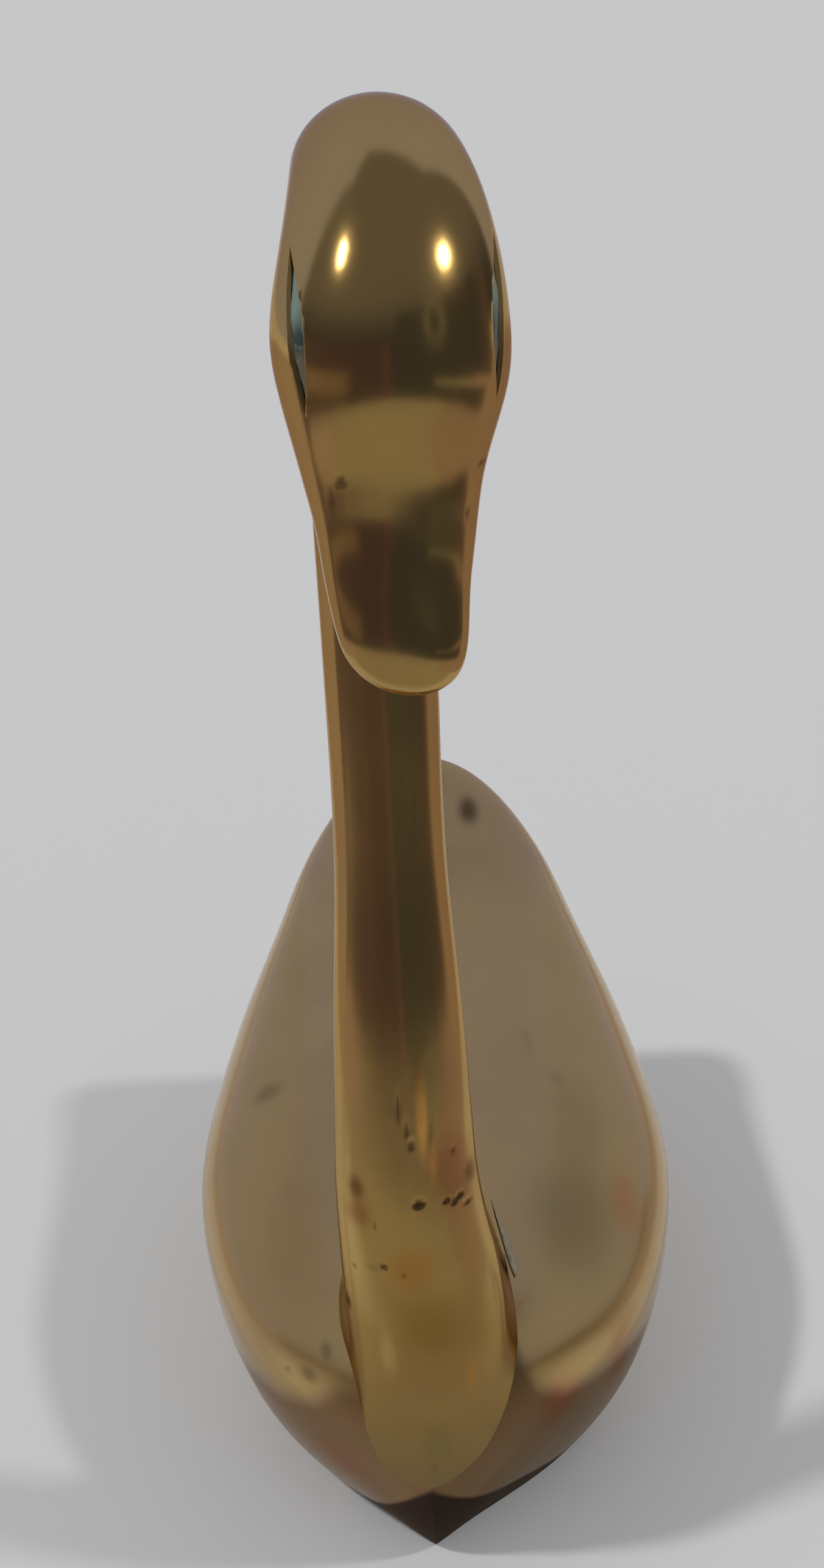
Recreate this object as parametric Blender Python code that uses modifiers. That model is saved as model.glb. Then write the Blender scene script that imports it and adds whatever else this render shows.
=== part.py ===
"""Brass swan figurine with a bowed head, about 123 mm tall.

The swan faces -Y and stands on Z = 0. Both castings are lofts through a few named stations: the body
along Y from the breast to the tail, and the neck along its own centre line, from the toe on the
breast up over the crook and down to the tip of the bill. Lengths in the stations are millimetres,
with Y measured back from the point where the bow meets the ground.
"""

import math
from typing import NamedTuple

import bmesh
import bpy
import numpy as np
from mathutils import Matrix, Vector

MM = 0.001

# Overall sizes of the two castings
BODY_WIDTH = 46.6
BODY_REAR = 72.4
TAIL_HEIGHT = 44.0
BREAST_FRONT = -1.7
BILL_TIP_HEIGHT = 87.0
BREAST_TOP = 25.2

# Walls, fits and the joint between the castings
WALL = 2.6
BREAST_WALL = 3.0
CLEARANCE = 0.3
CAVITY_REAR = 57.0
SEAT_TOP = 40.0
SPIGOT_RADIUS = 2.5
SPIGOT_HEIGHT = 15.0
SPIGOT_END = 1.0
SOLDER_WIDTH = 1.9
SOLDER_THICKNESS = 1.6
SOLDER_LIP = 0.6
SOLDER_EDGE = 0.4

# Sideways set of the hand-finished castings: the tip of the bow and the neck stand a little to
# one side, the head is turned about the neck, and the bill sits aside and hangs lower on its left
BOW_SET = -1.1
BOW_SET_REACH = 14.0
BOW_SET_TOP = 24.0
NECK_LEAN = -2.0
LEAN_BOTTOM = 18.0
LEAN_TOP = 40.0
HEAD_TURN = 9.0
TURN_BOTTOM = 70.0
TURN_TOP = 100.0
BILL_SET = -0.45
BILL_SET_BOTTOM = (88.0, 95.0)
BILL_SET_TOP = (99.0, 107.0)
BILL_SLANT = 0.26
BILL_SLANT_REACH = (BILL_TIP_HEIGHT, 101.0)
BILL_MIDDLE = 0.6
BILL_BACK = 6.0

# Almond eyes, set in pockets whose floors toe in towards the bill
EYE_HEIGHT = 110.2
EYE_FORWARD = 1.5
EYE_TOE_IN = 16.0
EYE_LENGTH = 10.6
EYE_WIDTH = 5.4
EYE_POCKET_DEPTH = 2.3
SETTING_THICKNESS = 0.6
INLAY_RIM = 0.4
INLAY_DOME = 0.6
DOME_STEPS = (1.0, 0.82, 0.6, 0.35, 0.0)

# Facets of the lofts
BODY_RINGS = 38
CORE_RINGS = 16
NECK_RINGS = 64
AROUND_BODY = 40
AROUND_CORE = 28
AROUND_NECK = 24
AROUND_SPIGOT = 24
AROUND_EYE_ARC = 9
SHARP_ANGLE = 40.0


class BodyStation(NamedTuple):
    """One cross-section of the body, square to Y."""

    along: float
    half_width: float
    top: float
    bottom: float
    widest_at: float
    keel: float


class NeckStation(NamedTuple):
    """One cross-section of the neck and head, square to its centre line."""

    along: float
    height: float
    half_width: float
    half_depth: float
    squareness: float


# A keel of 0 is a round underside and one of 1 runs down to a V
BODY_STATIONS = [
    BodyStation(BREAST_FRONT, 0.0, 13.0, 13.0, 13.0, 1.0),
    BodyStation(-0.6, 5.8, 19.0, 1.2, 13.6, 1.0),
    BodyStation(3.0, 11.6, 23.2, -3.6, 14.6, 1.0),
    BodyStation(10.0, 17.8, BREAST_TOP, -9.5, 15.6, 0.7),
    BodyStation(20.0, 21.8, 27.6, -12.2, 16.6, 0.4),
    BodyStation(30.0, BODY_WIDTH / 2, 30.0, -11.8, 17.5, 0.2),
    BodyStation(41.0, 22.5, 32.3, -8.5, 18.8, 0.0),
    BodyStation(52.0, 20.2, 35.2, -1.5, 21.2, 0.0),
    BodyStation(61.0, 17.0, 39.1, 8.5, 25.0, 0.0),
    BodyStation(67.5, 13.8, 42.4, 17.0, 29.5, 0.0),
    BodyStation(71.3, 9.4, TAIL_HEIGHT, 23.5, 33.5, 0.0),
    BodyStation(BODY_REAR, 0.0, 34.5, 34.5, 34.5, 0.0),
]

# A squareness of 2 is an ellipse and a higher one has fuller corners
NECK_STATIONS = [
    NeckStation(0.2, 6.8, 0.0, 0.0, 2.0),
    NeckStation(0.6, 8.2, 1.6, 1.6, 2.0),
    NeckStation(1.7, 13.5, 4.5, 3.5, 2.0),
    NeckStation(2.6, 20.0, 6.5, 4.6, 2.0),
    NeckStation(3.2, 26.5, 7.0, 4.9, 2.0),
    NeckStation(4.1, 33.0, 6.4, 4.5, 2.0),
    NeckStation(5.6, 41.0, 5.8, 3.9, 2.0),
    NeckStation(8.3, 53.0, 5.2, 3.7, 2.0),
    NeckStation(10.6, 64.0, 4.5, 3.6, 2.0),
    NeckStation(12.6, 78.0, 4.4, 3.6, 2.0),
    NeckStation(13.6, 92.0, 4.4, 3.6, 2.0),
    NeckStation(13.3, 103.0, 4.6, 3.7, 2.0),
    NeckStation(11.0, 112.2, 5.2, 4.1, 2.0),
    NeckStation(6.0, 118.0, 5.6, 4.9, 2.0),
    NeckStation(0.9, 114.3, 6.9, 5.4, 2.0),
    NeckStation(-1.4, 107.6, 7.6, 5.6, 2.0),
    NeckStation(-2.2, 101.4, 6.15, 4.25, 2.1),
    NeckStation(-3.0, 97.0, 5.25, 3.55, 2.2),
    NeckStation(-4.7, 91.6, 4.5, 2.7, 2.4),
    NeckStation(-5.5, 88.9, 3.7, 2.0, 2.5),
    NeckStation(-6.0, BILL_TIP_HEIGHT, 0.0, 0.0, 2.5),
]


def spline_slopes(knots, values, flat_ends):
    """Slopes of the smooth cubic through the values, level at its ends or free there."""
    count = len(knots)
    gap = np.diff(knots)
    rise = np.diff(values) / gap
    system = np.zeros((count, count))
    target = np.zeros(count)
    for i in range(1, count - 1):
        system[i, i - 1] = 1 / gap[i - 1]
        system[i, i] = 2 / gap[i - 1] + 2 / gap[i]
        system[i, i + 1] = 1 / gap[i]
        target[i] = 3 * (rise[i - 1] / gap[i - 1] + rise[i] / gap[i])
    for end, beside in ((0, 1), (-1, -2)):
        system[end, end] = 1 if flat_ends else 2
        system[end, beside] = 0 if flat_ends else 1
        target[end] = 0 if flat_ends else 3 * rise[end]
    return np.linalg.solve(system, target)


def spline(knots, values, at, flat_ends):
    """Values of the cubic at the places asked for."""
    slopes = spline_slopes(knots, values, flat_ends)
    span = np.clip(np.searchsorted(knots, at) - 1, 0, len(knots) - 2)
    gap = knots[span + 1] - knots[span]
    t = (at - knots[span]) / gap
    start = values[span] * (1 + 2 * t) * (1 - t) ** 2
    end = values[span + 1] * t**2 * (3 - 2 * t)
    bend = slopes[span] * t * (1 - t) ** 2 - slopes[span + 1] * t**2 * (1 - t)
    return start + end + gap * bend


def loft_track(stations, rings, centre_fields):
    """Stations blended into evenly spaced sections. Centres come to rest at the closed ends."""
    table = np.array(stations, dtype=float)
    steps = np.linalg.norm(np.diff(table[:, :4], axis=0), axis=1)
    knots = np.concatenate(([0.0], np.cumsum(steps)))
    at = np.linspace(0.0, knots[-1], rings)
    columns = []
    for field, values in zip(stations[0]._fields, table.T):
        columns.append(spline(knots, values, at, field in centre_fields))
    kind = type(stations[0])
    return [kind(*row) for row in np.array(columns).T]


def rounded(angle, power):
    """Point on a unit superellipse."""
    c, s = math.cos(angle), math.sin(angle)
    return (
        math.copysign(abs(c) ** (2 / power), c),
        math.copysign(abs(s) ** (2 / power), s),
    )


def body_ring(station, inset, count):
    """Closed ring of the body at one station, drawn in by the inset."""
    ring = []
    for i in range(count):
        angle = 2 * math.pi * i / count
        if i <= count / 2:
            up = math.sin(angle) * (station.top - station.widest_at - inset)
        else:
            share = 1 - abs(angle / math.pi * 2 - 3)
            down = (1 - station.keel) * -math.sin(angle) + station.keel * share
            up = -down * (station.widest_at - station.bottom - inset)
        x = math.cos(angle) * (station.half_width - inset)
        z = station.widest_at + up
        ring.append(Vector((x + bow_offset(station.along, z), station.along, z)))
    return ring


def bow_offset(y, z):
    """Sideways set of the bow, fading out along the body and up the breast."""
    return BOW_SET * (1 - ease(y, 0.0, BOW_SET_REACH)) * (1 - ease(z, 0.0, BOW_SET_TOP))


def ease(value, low, high):
    """Smooth step from 0 at the low end to 1 at the high end."""
    t = min(max((value - low) / (high - low), 0.0), 1.0)
    return t * t * (3 - 2 * t)


def neck_axis():
    """Y of the upright axis that the head is turned about, up the back of the crook."""
    return max(station.along for station in NECK_STATIONS)


def lean_and_turn(point):
    """Sideways set of the neck casting at the point's height."""
    angle = math.radians(HEAD_TURN) * ease(point.z, TURN_BOTTOM, TURN_TOP)
    arm = point.y - neck_axis()
    x = point.x * math.cos(angle) - arm * math.sin(angle)
    y = point.x * math.sin(angle) + arm * math.cos(angle) + neck_axis()
    lean = NECK_LEAN * ease(point.z, LEAN_BOTTOM, LEAN_TOP)
    aside, drop = bill_set(x, y, point.z)
    return Vector((x + lean + aside + bow_offset(y, point.z), y, point.z - drop))


def bill_set(x, y, z):
    """Sideways set and drop of the bill, nothing on the neck behind it."""
    if y > BILL_BACK or z < TURN_BOTTOM:
        return 0.0, 0.0
    aside = BILL_SET * ease(z, *BILL_SET_BOTTOM) * (1 - ease(z, *BILL_SET_TOP))
    drop = BILL_SLANT * (x - BILL_MIDDLE) * (1 - ease(z, *BILL_SLANT_REACH))
    return aside, drop


def neck_directions(track):
    """Unit direction of the centre line at each section."""
    centres = np.array([(0.0, s.along, s.height) for s in track])
    steps = np.gradient(centres, axis=0)
    return [Vector(step).normalized() for step in steps]


def neck_ring(station, direction, grow):
    """Closed ring of the neck at one station, swollen by the given clearance."""
    across = Vector((1, 0, 0))
    outward = direction.cross(across)
    centre = Vector((0, station.along, station.height))
    ring = []
    for i in range(AROUND_NECK):
        x, y = rounded(2 * math.pi * i / AROUND_NECK, station.squareness)
        spot = centre + across * x * (station.half_width + grow)
        ring.append(lean_and_turn(spot + outward * y * (station.half_depth + grow)))
    return ring


def loft(name, rings, closed_start, closed_end):
    """Object through the rings, in metres. A closed end runs to a point, an open one is capped flat."""
    mesh = bmesh.new()
    rows = []
    for number, ring in enumerate(rings):
        if (number == 0 and closed_start) or (number == len(rings) - 1 and closed_end):
            middle = sum(ring, Vector()) / len(ring)
            rows.append([mesh.verts.new(middle * MM)])
        else:
            rows.append([mesh.verts.new(point * MM) for point in ring])
    for low, high in zip(rows, rows[1:]):
        count = max(len(low), len(high))
        for i in range(count):
            j = (i + 1) % count
            corners = [low[i % len(low)], low[j % len(low)], high[j % len(high)], high[i % len(high)]]
            mesh.faces.new(dict.fromkeys(corners))
    if not closed_start:
        mesh.faces.new(rows[0])
    if not closed_end:
        mesh.faces.new(rows[-1])
    bmesh.ops.recalc_face_normals(mesh, faces=mesh.faces)
    data = bpy.data.meshes.new(name)
    mesh.to_mesh(data)
    mesh.free()
    return bpy.data.objects.new(name, data)


def brass(name, colour, roughness):
    """Polished yellow metal."""
    return surface(name, colour, roughness, 1.0)


def surface(name, colour, roughness, metallic):
    """Principled material of one part."""
    material = bpy.data.materials.new(name)
    material.use_nodes = True
    shader = material.node_tree.nodes["Principled BSDF"]
    shader.inputs["Base Color"].default_value = (*colour, 1.0)
    shader.inputs["Roughness"].default_value = roughness
    shader.inputs["Metallic"].default_value = metallic
    return material


class Model:
    """Collections of the swan: its parts under one empty, and the cutters that shape them."""

    def __init__(self):
        self.parts = bpy.data.collections.new("brass_swan")
        self.cutters = bpy.data.collections.new("brass_swan_cutters")
        for collection in (self.parts, self.cutters):
            bpy.context.scene.collection.children.link(collection)
        self.base = bpy.data.objects.new("swan_base", None)
        self.parts.objects.link(self.base)

    def part(self, item, material):
        """Takes an object in as a part with its own material, shaded smooth."""
        item.data.materials.append(material)
        item.data.shade_smooth()
        item.data.set_sharp_from_angle(angle=math.radians(SHARP_ANGLE))
        item.parent = self.base
        self.parts.objects.link(item)
        return item

    def cutter(self, item):
        """Takes an object in as a guide that stays out of the model."""
        item.hide_render = True
        item.display_type = "WIRE"
        item.parent = self.base
        self.cutters.objects.link(item)
        return item

    def combine(self, item, other, operation):
        """Adds a Boolean to the part."""
        modifier = item.modifiers.new(other.name, "BOOLEAN")
        modifier.object = other
        modifier.operation = operation


def cylinder_along_y(name, radius, start, end, height):
    """Round bar along Y, given in millimetres."""
    mesh = bmesh.new()
    bmesh.ops.create_cone(
        mesh,
        cap_ends=True,
        segments=AROUND_SPIGOT,
        radius1=radius * MM,
        radius2=radius * MM,
        depth=(end - start) * MM,
        matrix=Matrix.Rotation(math.radians(-90), 4, "X"),
    )
    data = bpy.data.meshes.new(name)
    mesh.to_mesh(data)
    mesh.free()
    item = bpy.data.objects.new(name, data)
    item.location = Vector((0, (start + end) / 2, height)) * MM
    return item


def ground_cutter():
    """Block under the ground plane that planes the rim of the body flat."""
    mesh = bmesh.new()
    bmesh.ops.create_cube(mesh, size=1.0)
    data = bpy.data.meshes.new("ground_cut")
    mesh.to_mesh(data)
    mesh.free()
    item = bpy.data.objects.new("ground_cut", data)
    depth = 2 * BODY_WIDTH
    item.scale = Vector((2 * BODY_WIDTH, 2 * BODY_REAR, depth)) * MM
    item.location = Vector((0, BODY_REAR / 2, -depth / 2)) * MM
    return item


def foot_rear(track):
    """Y of the back of the neck's foot, where it lies deepest in the breast."""
    return max(s.along + s.half_depth for s in track if s.height < BREAST_TOP)


def cavity_front(track):
    """Y of the flat front wall of the cavity, behind the seat of the neck."""
    return foot_rear(track) + CLEARANCE + BREAST_WALL


def build_body(model, track):
    """Hollow body: the outer loft less its core, planed at the ground and cut for the neck."""
    sections = loft_track(BODY_STATIONS, BODY_RINGS, ("along", "widest_at"))
    rings = [body_ring(section, 0.0, AROUND_BODY) for section in sections]
    material = brass("body_brass", (0.50, 0.37, 0.20), 0.16)
    body = model.part(loft("body_shell", rings, True, True), material)
    front = cavity_front(track)
    along = [section.along for section in sections]
    core_rings = []
    for y in np.linspace(front, CAVITY_REAR, CORE_RINGS):
        fields = np.array(sections).T
        station = BodyStation(*(float(np.interp(y, along, field)) for field in fields))
        core_rings.append(body_ring(station, WALL, AROUND_CORE))
    core = model.cutter(loft("cavity_core", core_rings, False, False))
    hole = cylinder_along_y("spigot_hole", SPIGOT_RADIUS + CLEARANCE, 0.0, front + WALL, SPIGOT_HEIGHT)
    seat = model.cutter(neck_seat(track))
    for tool in (core, model.cutter(ground_cutter()), model.cutter(hole), seat):
        model.combine(body, tool, "DIFFERENCE")
    return body


def neck_seat(track):
    """Foot of the neck swollen by the clearance, cut out of the breast."""
    low = [section for section in track if section.height < SEAT_TOP]
    directions = neck_directions(low)
    toe = low[0]
    below = toe._replace(along=toe.along - directions[0].y * CLEARANCE)
    low[0] = below._replace(height=toe.height - directions[0].z * CLEARANCE)
    rings = [neck_ring(section, way, CLEARANCE) for section, way in zip(low, directions)]
    return loft("neck_seat", rings, False, False)


def almond(length, width):
    """Outline of two equal arcs that meet in points, counter-clockwise, as flat coordinates."""
    radius = (length**2 + width**2) / (4 * width)
    half_angle = math.asin(length / 2 / radius)
    points = []
    for side in (1, -1):
        for i in range(AROUND_EYE_ARC):
            angle = half_angle * (1 - 2 * i / AROUND_EYE_ARC)
            rise = radius * math.cos(angle) - radius + width / 2
            points.append((side * radius * math.sin(angle), side * rise))
    return points


def eye_ring(outline, scale, depth):
    """Ring of an eye piece at a depth along its own outward axis."""
    return [Vector((depth, along * scale, across * scale)) for along, across in outline]


def eye_frame(track, side):
    """Matrix that takes an eye piece from its own axes to its place on one side of the head."""
    crown = max(range(len(track)), key=lambda number: track[number].height)
    head = track[: crown - 1 : -1]
    heights = [section.height for section in head]
    ends = (EYE_HEIGHT - EYE_LENGTH / 2, EYE_HEIGHT, EYE_HEIGHT + EYE_LENGTH / 2)
    below, middle, above = np.interp(ends, heights, [section.along for section in head])
    half_width = float(np.interp(EYE_HEIGHT, heights, [section.half_width for section in head]))
    long_axis = Vector((0, above - below, EYE_LENGTH)).normalized()
    toe = math.radians(EYE_TOE_IN)
    outward = Vector((side * math.cos(toe), -math.sin(toe), 0))
    outward = (outward - long_axis * outward.dot(long_axis)).normalized()
    across = outward.cross(long_axis)
    axes = Matrix((outward, long_axis, across)).transposed().to_4x4()
    spot = Vector((side * half_width, middle - EYE_FORWARD, EYE_HEIGHT))
    turn = Matrix.Rotation(math.radians(HEAD_TURN), 4, "Z")
    pivot = Matrix.Translation(Vector((0, neck_axis(), 0)) * MM)
    lean = Matrix.Translation(Vector((NECK_LEAN, 0, 0)) * MM)
    return lean @ pivot @ turn @ pivot.inverted() @ Matrix.Translation(spot * MM) @ axes


def build_eye(model, head, track, side, label):
    """Pocket, setting and domed shell inlay of one eye."""
    place = eye_frame(track, side)
    outline = almond(EYE_LENGTH, EYE_WIDTH)
    inner = almond(EYE_LENGTH - 4 * CLEARANCE, EYE_WIDTH - 2 * CLEARANCE)
    floor = -EYE_POCKET_DEPTH
    pocket = loft(
        f"eye_pocket_{label}",
        [eye_ring(outline, 1.0, floor), eye_ring(outline, 1.0, EYE_POCKET_DEPTH)],
        False,
        False,
    )
    pocket.matrix_basis = place
    model.combine(head, model.cutter(pocket), "DIFFERENCE")
    low = floor + CLEARANCE
    top = low + SETTING_THICKNESS
    setting = loft(
        f"eye_setting_{label}",
        [eye_ring(inner, 1.0, low), eye_ring(inner, 1.0, top)],
        False,
        False,
    )
    setting.matrix_basis = place
    model.part(setting, surface(f"eye_setting_{label}_compound", (0.02, 0.02, 0.02), 0.5, 0.0))
    bottom = top + CLEARANCE
    rings = [eye_ring(inner, 1.0, bottom)]
    for scale in DOME_STEPS:
        rings.append(eye_ring(inner, scale, bottom + INLAY_RIM + INLAY_DOME * (1 - scale**2)))
    inlay = loft(f"eye_inlay_{label}", rings, False, True)
    inlay.matrix_basis = place
    model.part(inlay, surface(f"eye_inlay_{label}_shell", (0.05, 0.28, 0.27), 0.22, 0.0))


def build_neck(model, track):
    """Neck and head with the spigot that holds it to the body."""
    directions = neck_directions(track)
    rings = [neck_ring(section, way, 0.0) for section, way in zip(track, directions)]
    material = brass("neck_brass", (0.55, 0.40, 0.18), 0.12)
    neck = model.part(loft("neck_and_head", rings, True, True), material)
    end = cavity_front(track) + CLEARANCE + SOLDER_THICKNESS + SPIGOT_END
    middle = foot_rear(track) / 2
    spigot = cylinder_along_y("spigot", SPIGOT_RADIUS, middle, end, SPIGOT_HEIGHT)
    model.combine(neck, model.cutter(spigot), "UNION")
    for side, label in ((-1, "right"), (1, "left")):
        build_eye(model, neck, track, side, label)
    return neck


def build_solder(model, track):
    """Turned fillet of solder round the spigot, against the inside of the breast."""
    inner = (SPIGOT_RADIUS + CLEARANCE) * MM
    foot = inner + SOLDER_WIDTH * MM
    lip = inner + SOLDER_LIP * MM
    height = SOLDER_THICKNESS * MM
    profile = [(lip, height), (foot, SOLDER_EDGE * MM), (foot, 0.0), (inner, 0.0), (inner, height)]
    data = bpy.data.meshes.new("solder_ring")
    corners = [(radius, 0.0, level) for radius, level in profile]
    count = len(corners)
    data.from_pydata(corners, [(i, (i + 1) % count) for i in range(count)], [])
    ring = bpy.data.objects.new("solder_ring", data)
    turn = ring.modifiers.new("turn", "SCREW")
    turn.steps = AROUND_SPIGOT
    turn.render_steps = AROUND_SPIGOT
    turn.use_merge_vertices = True
    turn.merge_threshold = 0.00001
    start = cavity_front(track) + CLEARANCE
    ring.location = Vector((0, start, SPIGOT_HEIGHT)) * MM
    ring.rotation_euler = (math.radians(-90), 0, 0)
    return model.part(ring, surface("solder", (0.55, 0.56, 0.58), 0.35, 1.0))


def centre_on_ground(model):
    """Moves the base so that the origin is the middle of the swan's bounding box, on the ground."""
    bpy.context.view_layer.update()
    corners = []
    for item in model.parts.objects:
        if item.type == "MESH":
            corners += [item.matrix_world @ Vector(corner) for corner in item.bound_box]
    low = [min(corner[axis] for corner in corners) for axis in range(3)]
    high = [max(corner[axis] for corner in corners) for axis in range(3)]
    model.base.location.x = -(low[0] + high[0]) / 2
    model.base.location.y = -(low[1] + high[1]) / 2


def main():
    for item in list(bpy.data.objects):
        bpy.data.objects.remove(item, do_unlink=True)
    model = Model()
    track = loft_track(NECK_STATIONS, NECK_RINGS, ("along", "height"))
    build_neck(model, track)
    build_body(model, track)
    build_solder(model, track)
    centre_on_ground(model)


main()
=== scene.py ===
"""Brass swan figurine: finished castings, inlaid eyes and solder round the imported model, on a pale floor."""

import math
from typing import NamedTuple

import bmesh
import bpy
import numpy as np
from bpy.props import FloatProperty, FloatVectorProperty, PointerProperty
from bpy.types import Operator, Panel, PropertyGroup
from mathutils import Matrix, Vector
from mathutils.bvhtree import BVHTree


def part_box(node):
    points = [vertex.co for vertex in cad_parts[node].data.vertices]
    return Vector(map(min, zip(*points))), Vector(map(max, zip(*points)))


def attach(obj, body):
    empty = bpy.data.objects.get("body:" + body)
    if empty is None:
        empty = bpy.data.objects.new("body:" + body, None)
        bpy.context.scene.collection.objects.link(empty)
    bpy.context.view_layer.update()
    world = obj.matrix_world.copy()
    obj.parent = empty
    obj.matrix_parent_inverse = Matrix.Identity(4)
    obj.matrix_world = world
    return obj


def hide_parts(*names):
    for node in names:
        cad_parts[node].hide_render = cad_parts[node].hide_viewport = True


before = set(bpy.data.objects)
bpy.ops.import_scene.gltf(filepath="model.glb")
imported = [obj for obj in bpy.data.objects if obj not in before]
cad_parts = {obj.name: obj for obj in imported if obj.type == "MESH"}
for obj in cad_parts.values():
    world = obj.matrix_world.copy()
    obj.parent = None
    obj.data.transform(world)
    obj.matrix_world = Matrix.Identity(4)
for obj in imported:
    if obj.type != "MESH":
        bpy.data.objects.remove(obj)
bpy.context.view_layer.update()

bl_info = {
    "name": "Brass swan figurine",
    "version": (1, 0, 0),
    "blender": (4, 5, 0),
    "location": "View3D > Sidebar > Swan",
    "description": "Builds a polished brass swan with shell eyes on a pale studio floor",
    "category": "Add Mesh",
}

# Lengths below are millimetres from the point where the bow meets the ground, as in the castings'
# drawings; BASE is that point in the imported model's own metres
MM = 0.001
BODY_REAR = 72.4
BODY_LOW, BODY_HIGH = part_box("body_shell")
BASE = Vector(((BODY_LOW.x + BODY_HIGH.x) / 2, BODY_HIGH.y - BODY_REAR * MM, 0.0))

# Sideways set of the hand-finished castings
BOW_SET, BOW_SET_REACH, BOW_SET_TOP = -1.1, 14.0, 24.0
NECK_LEAN, LEAN_BOTTOM, LEAN_TOP = -2.0, 18.0, 40.0
HEAD_TURN, TURN_BOTTOM, TURN_TOP = 9.0, 70.0, 100.0
CROWN_SET, CROWN_BOTTOM, CROWN_TOP = 0.6, 109.0, 119.0
BILL_SET, BILL_SET_BOTTOM, BILL_SET_TOP = -0.45, (88.0, 95.0), (99.0, 107.0)
BILL_SLANT, BILL_SLANT_REACH, BILL_MIDDLE, BILL_BACK = 0.26, (87.0, 101.0), 0.6, 6.0

# Walls, fits and the joint between the castings. The seat of the foot is a closer fit than the
# spigot's hole, because the edge of the foot hides only a narrow gap
WALL = 2.6
BREAST_WALL = 3.0
CLEARANCE = 0.3
SEAT_CLEARANCE = 0.06
CAVITY_REAR = 57.0
BREAST_TOP = 25.2
SPIGOT_RADIUS, SPIGOT_HEIGHT, SPIGOT_END = 2.5, 15.0, 1.0
SOLDER_WIDTH, SOLDER_THICKNESS = 1.9, 1.6
SOLDER_HEM, SOLDER_SWEEP, SOLDER_LIP, SOLDER_FLAT, SOLDER_WAVE = 0.99, 0.82, 0.25, 0.3, 0.02
GROUND_HALF_WIDTH, GROUND_FRONT, GROUND_REAR, GROUND_DEPTH = 50.0, -20.0, 100.0, 60.0
RIM_LEVEL = 0.01

# Almond eyes in their pockets
EYE_HEIGHT, EYE_FORWARD, EYE_TOE_IN = 110.2, 1.5, 16.0
EYE_LENGTH, EYE_CHORD, EYE_FRONT_BOW, EYE_REAR_BOW = 10.2, 0.95, 1.6, 0.45
POCKET_DEPTH, POCKET_REACH = 1.6, 2.0
SETTING_WALL, SETTING_FLOOR, SETTING_LIP, SETTING_BEVEL = 0.13, 0.3, 0.28, 0.04
INLAY_RIM, INLAY_SIDE, INLAY_DOME = 0.42, 0.05, 0.16
EYE_GAP, EYE_POINT_INSET, BED_CLEAR, INLAY_CLEAR = 0.02, 2.4, 0.05, 0.03
LIDS_BOTTOM, LIDS_BACK, OUTSIDE_HEAD = 103, 3, 6

# Soldered foot: bow of the fillet's curve as a share of its reach, where round the neck it swells
# outwards and the leaf is pillowed, how far the foot's parts stand clear of the body, and where its
# long lines leave the neck and the body
FILLET_BOW, REAR_SHARPNESS, RING_SMOOTHINGS = 0.42, 1.5, 4
SWELL_SPAN, PILLOW_SPAN, PILLOW_END = (-0.7, 0.35), (0.0, 0.7), 2.2
FILLET_CLEAR, EDGE_CLEAR, INSIDE_CLEAR, UNDERSIDE_CLEAR = 0.03, 0.025, 0.02, 0.012
EVEN_ABOVE, PROBE = 2.0, 0.05
ENTRY_BOTTOM, ENTRY_TOP, ENTRY_STEP, ENTRY_SINK, TOE_PLACE = 4.0, 50.0, 0.3, 0.3, 0.6

# Line through the inside of the body that its outside faces away from
HEART_FRONT, HEART_REAR, HEART_HEIGHT, HEART_RISE = 4.0, 66.0, 16.0, 0.2

# Drop of solder at the end of the crack: angles round the foot, half width and how it swells, how
# far it hangs and slides off the joint, and its height
STREAK_SPAN = (-43.0, -17.0)
STREAK_LEAST, STREAK_SWELL, STREAK_RAMP, STREAK_FULLNESS = 0.04, 0.34, 2.2, 0.7
STREAK_HANG, STREAK_SLIDE = 0.6, 0.5
STREAK_CLEAR, STREAK_CREST, STREAK_HEM = 0.06, 0.16, 0.04

# Fineness of the lofts, and of the tables read off their centre lines
BODY_RINGS, BODY_AROUND = 230, 200
CORE_RINGS, CORE_AROUND = 60, 96
NECK_ROWS, NECK_LOW_ROWS, NECK_AROUND = 300, 120, 160
FILLET_ROWS, UNDERSIDE_ROWS, FOOT_ROWS = 20, 4, 24
SEAT_ROWS, SEAT_AROUND, SEAT_SPAN = 60, 72, (0.5, 36.0)
HEAD_ROWS, HEAD_SPAN = 160, (0.55, 0.98)
SPIGOT_AROUND, SOLDER_AROUND, SOLDER_ARC_POINTS = 64, 96, 10
STREAK_ROWS, STREAK_AROUND = 40, 16
EYE_ARC_POINTS, DOME_ROWS, DOME_SPAN = 30, 12, (0.08, 0.94)
FOOT_SAMPLES, CORE_SAMPLES, HEAD_SAMPLES = 400, 600, 64
NECK_CROWDING = 0.3

# Angles between faces from which an edge is rounded over, in radians, and shaded sharp, in degrees
ROUNDED_EDGE, SHARP_EDGE = 0.7, 40


class BodyStation(NamedTuple):
    """One cross-section of the body, square to Y. A keel of 1 runs down to a V."""

    along: float
    half_width: float
    top: float
    bottom: float
    widest_at: float
    keel: float


class NeckStation(NamedTuple):
    """One cross-section of the neck and head, square to its centre line."""

    along: float
    height: float
    half_width: float
    half_depth: float
    squareness: float


class FootEdge(NamedTuple):
    """Point on the body where the soldered foot of the neck ends, at an angle round the neck."""

    angle: float
    x: float
    y: float
    z: float


class Mark(NamedTuple):
    """Stain, dent or painted highlight on a casting: its place, its reach each way, its tint and its depth."""

    place: tuple
    reach: tuple
    tint: tuple
    depth: float = 0.0


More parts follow.
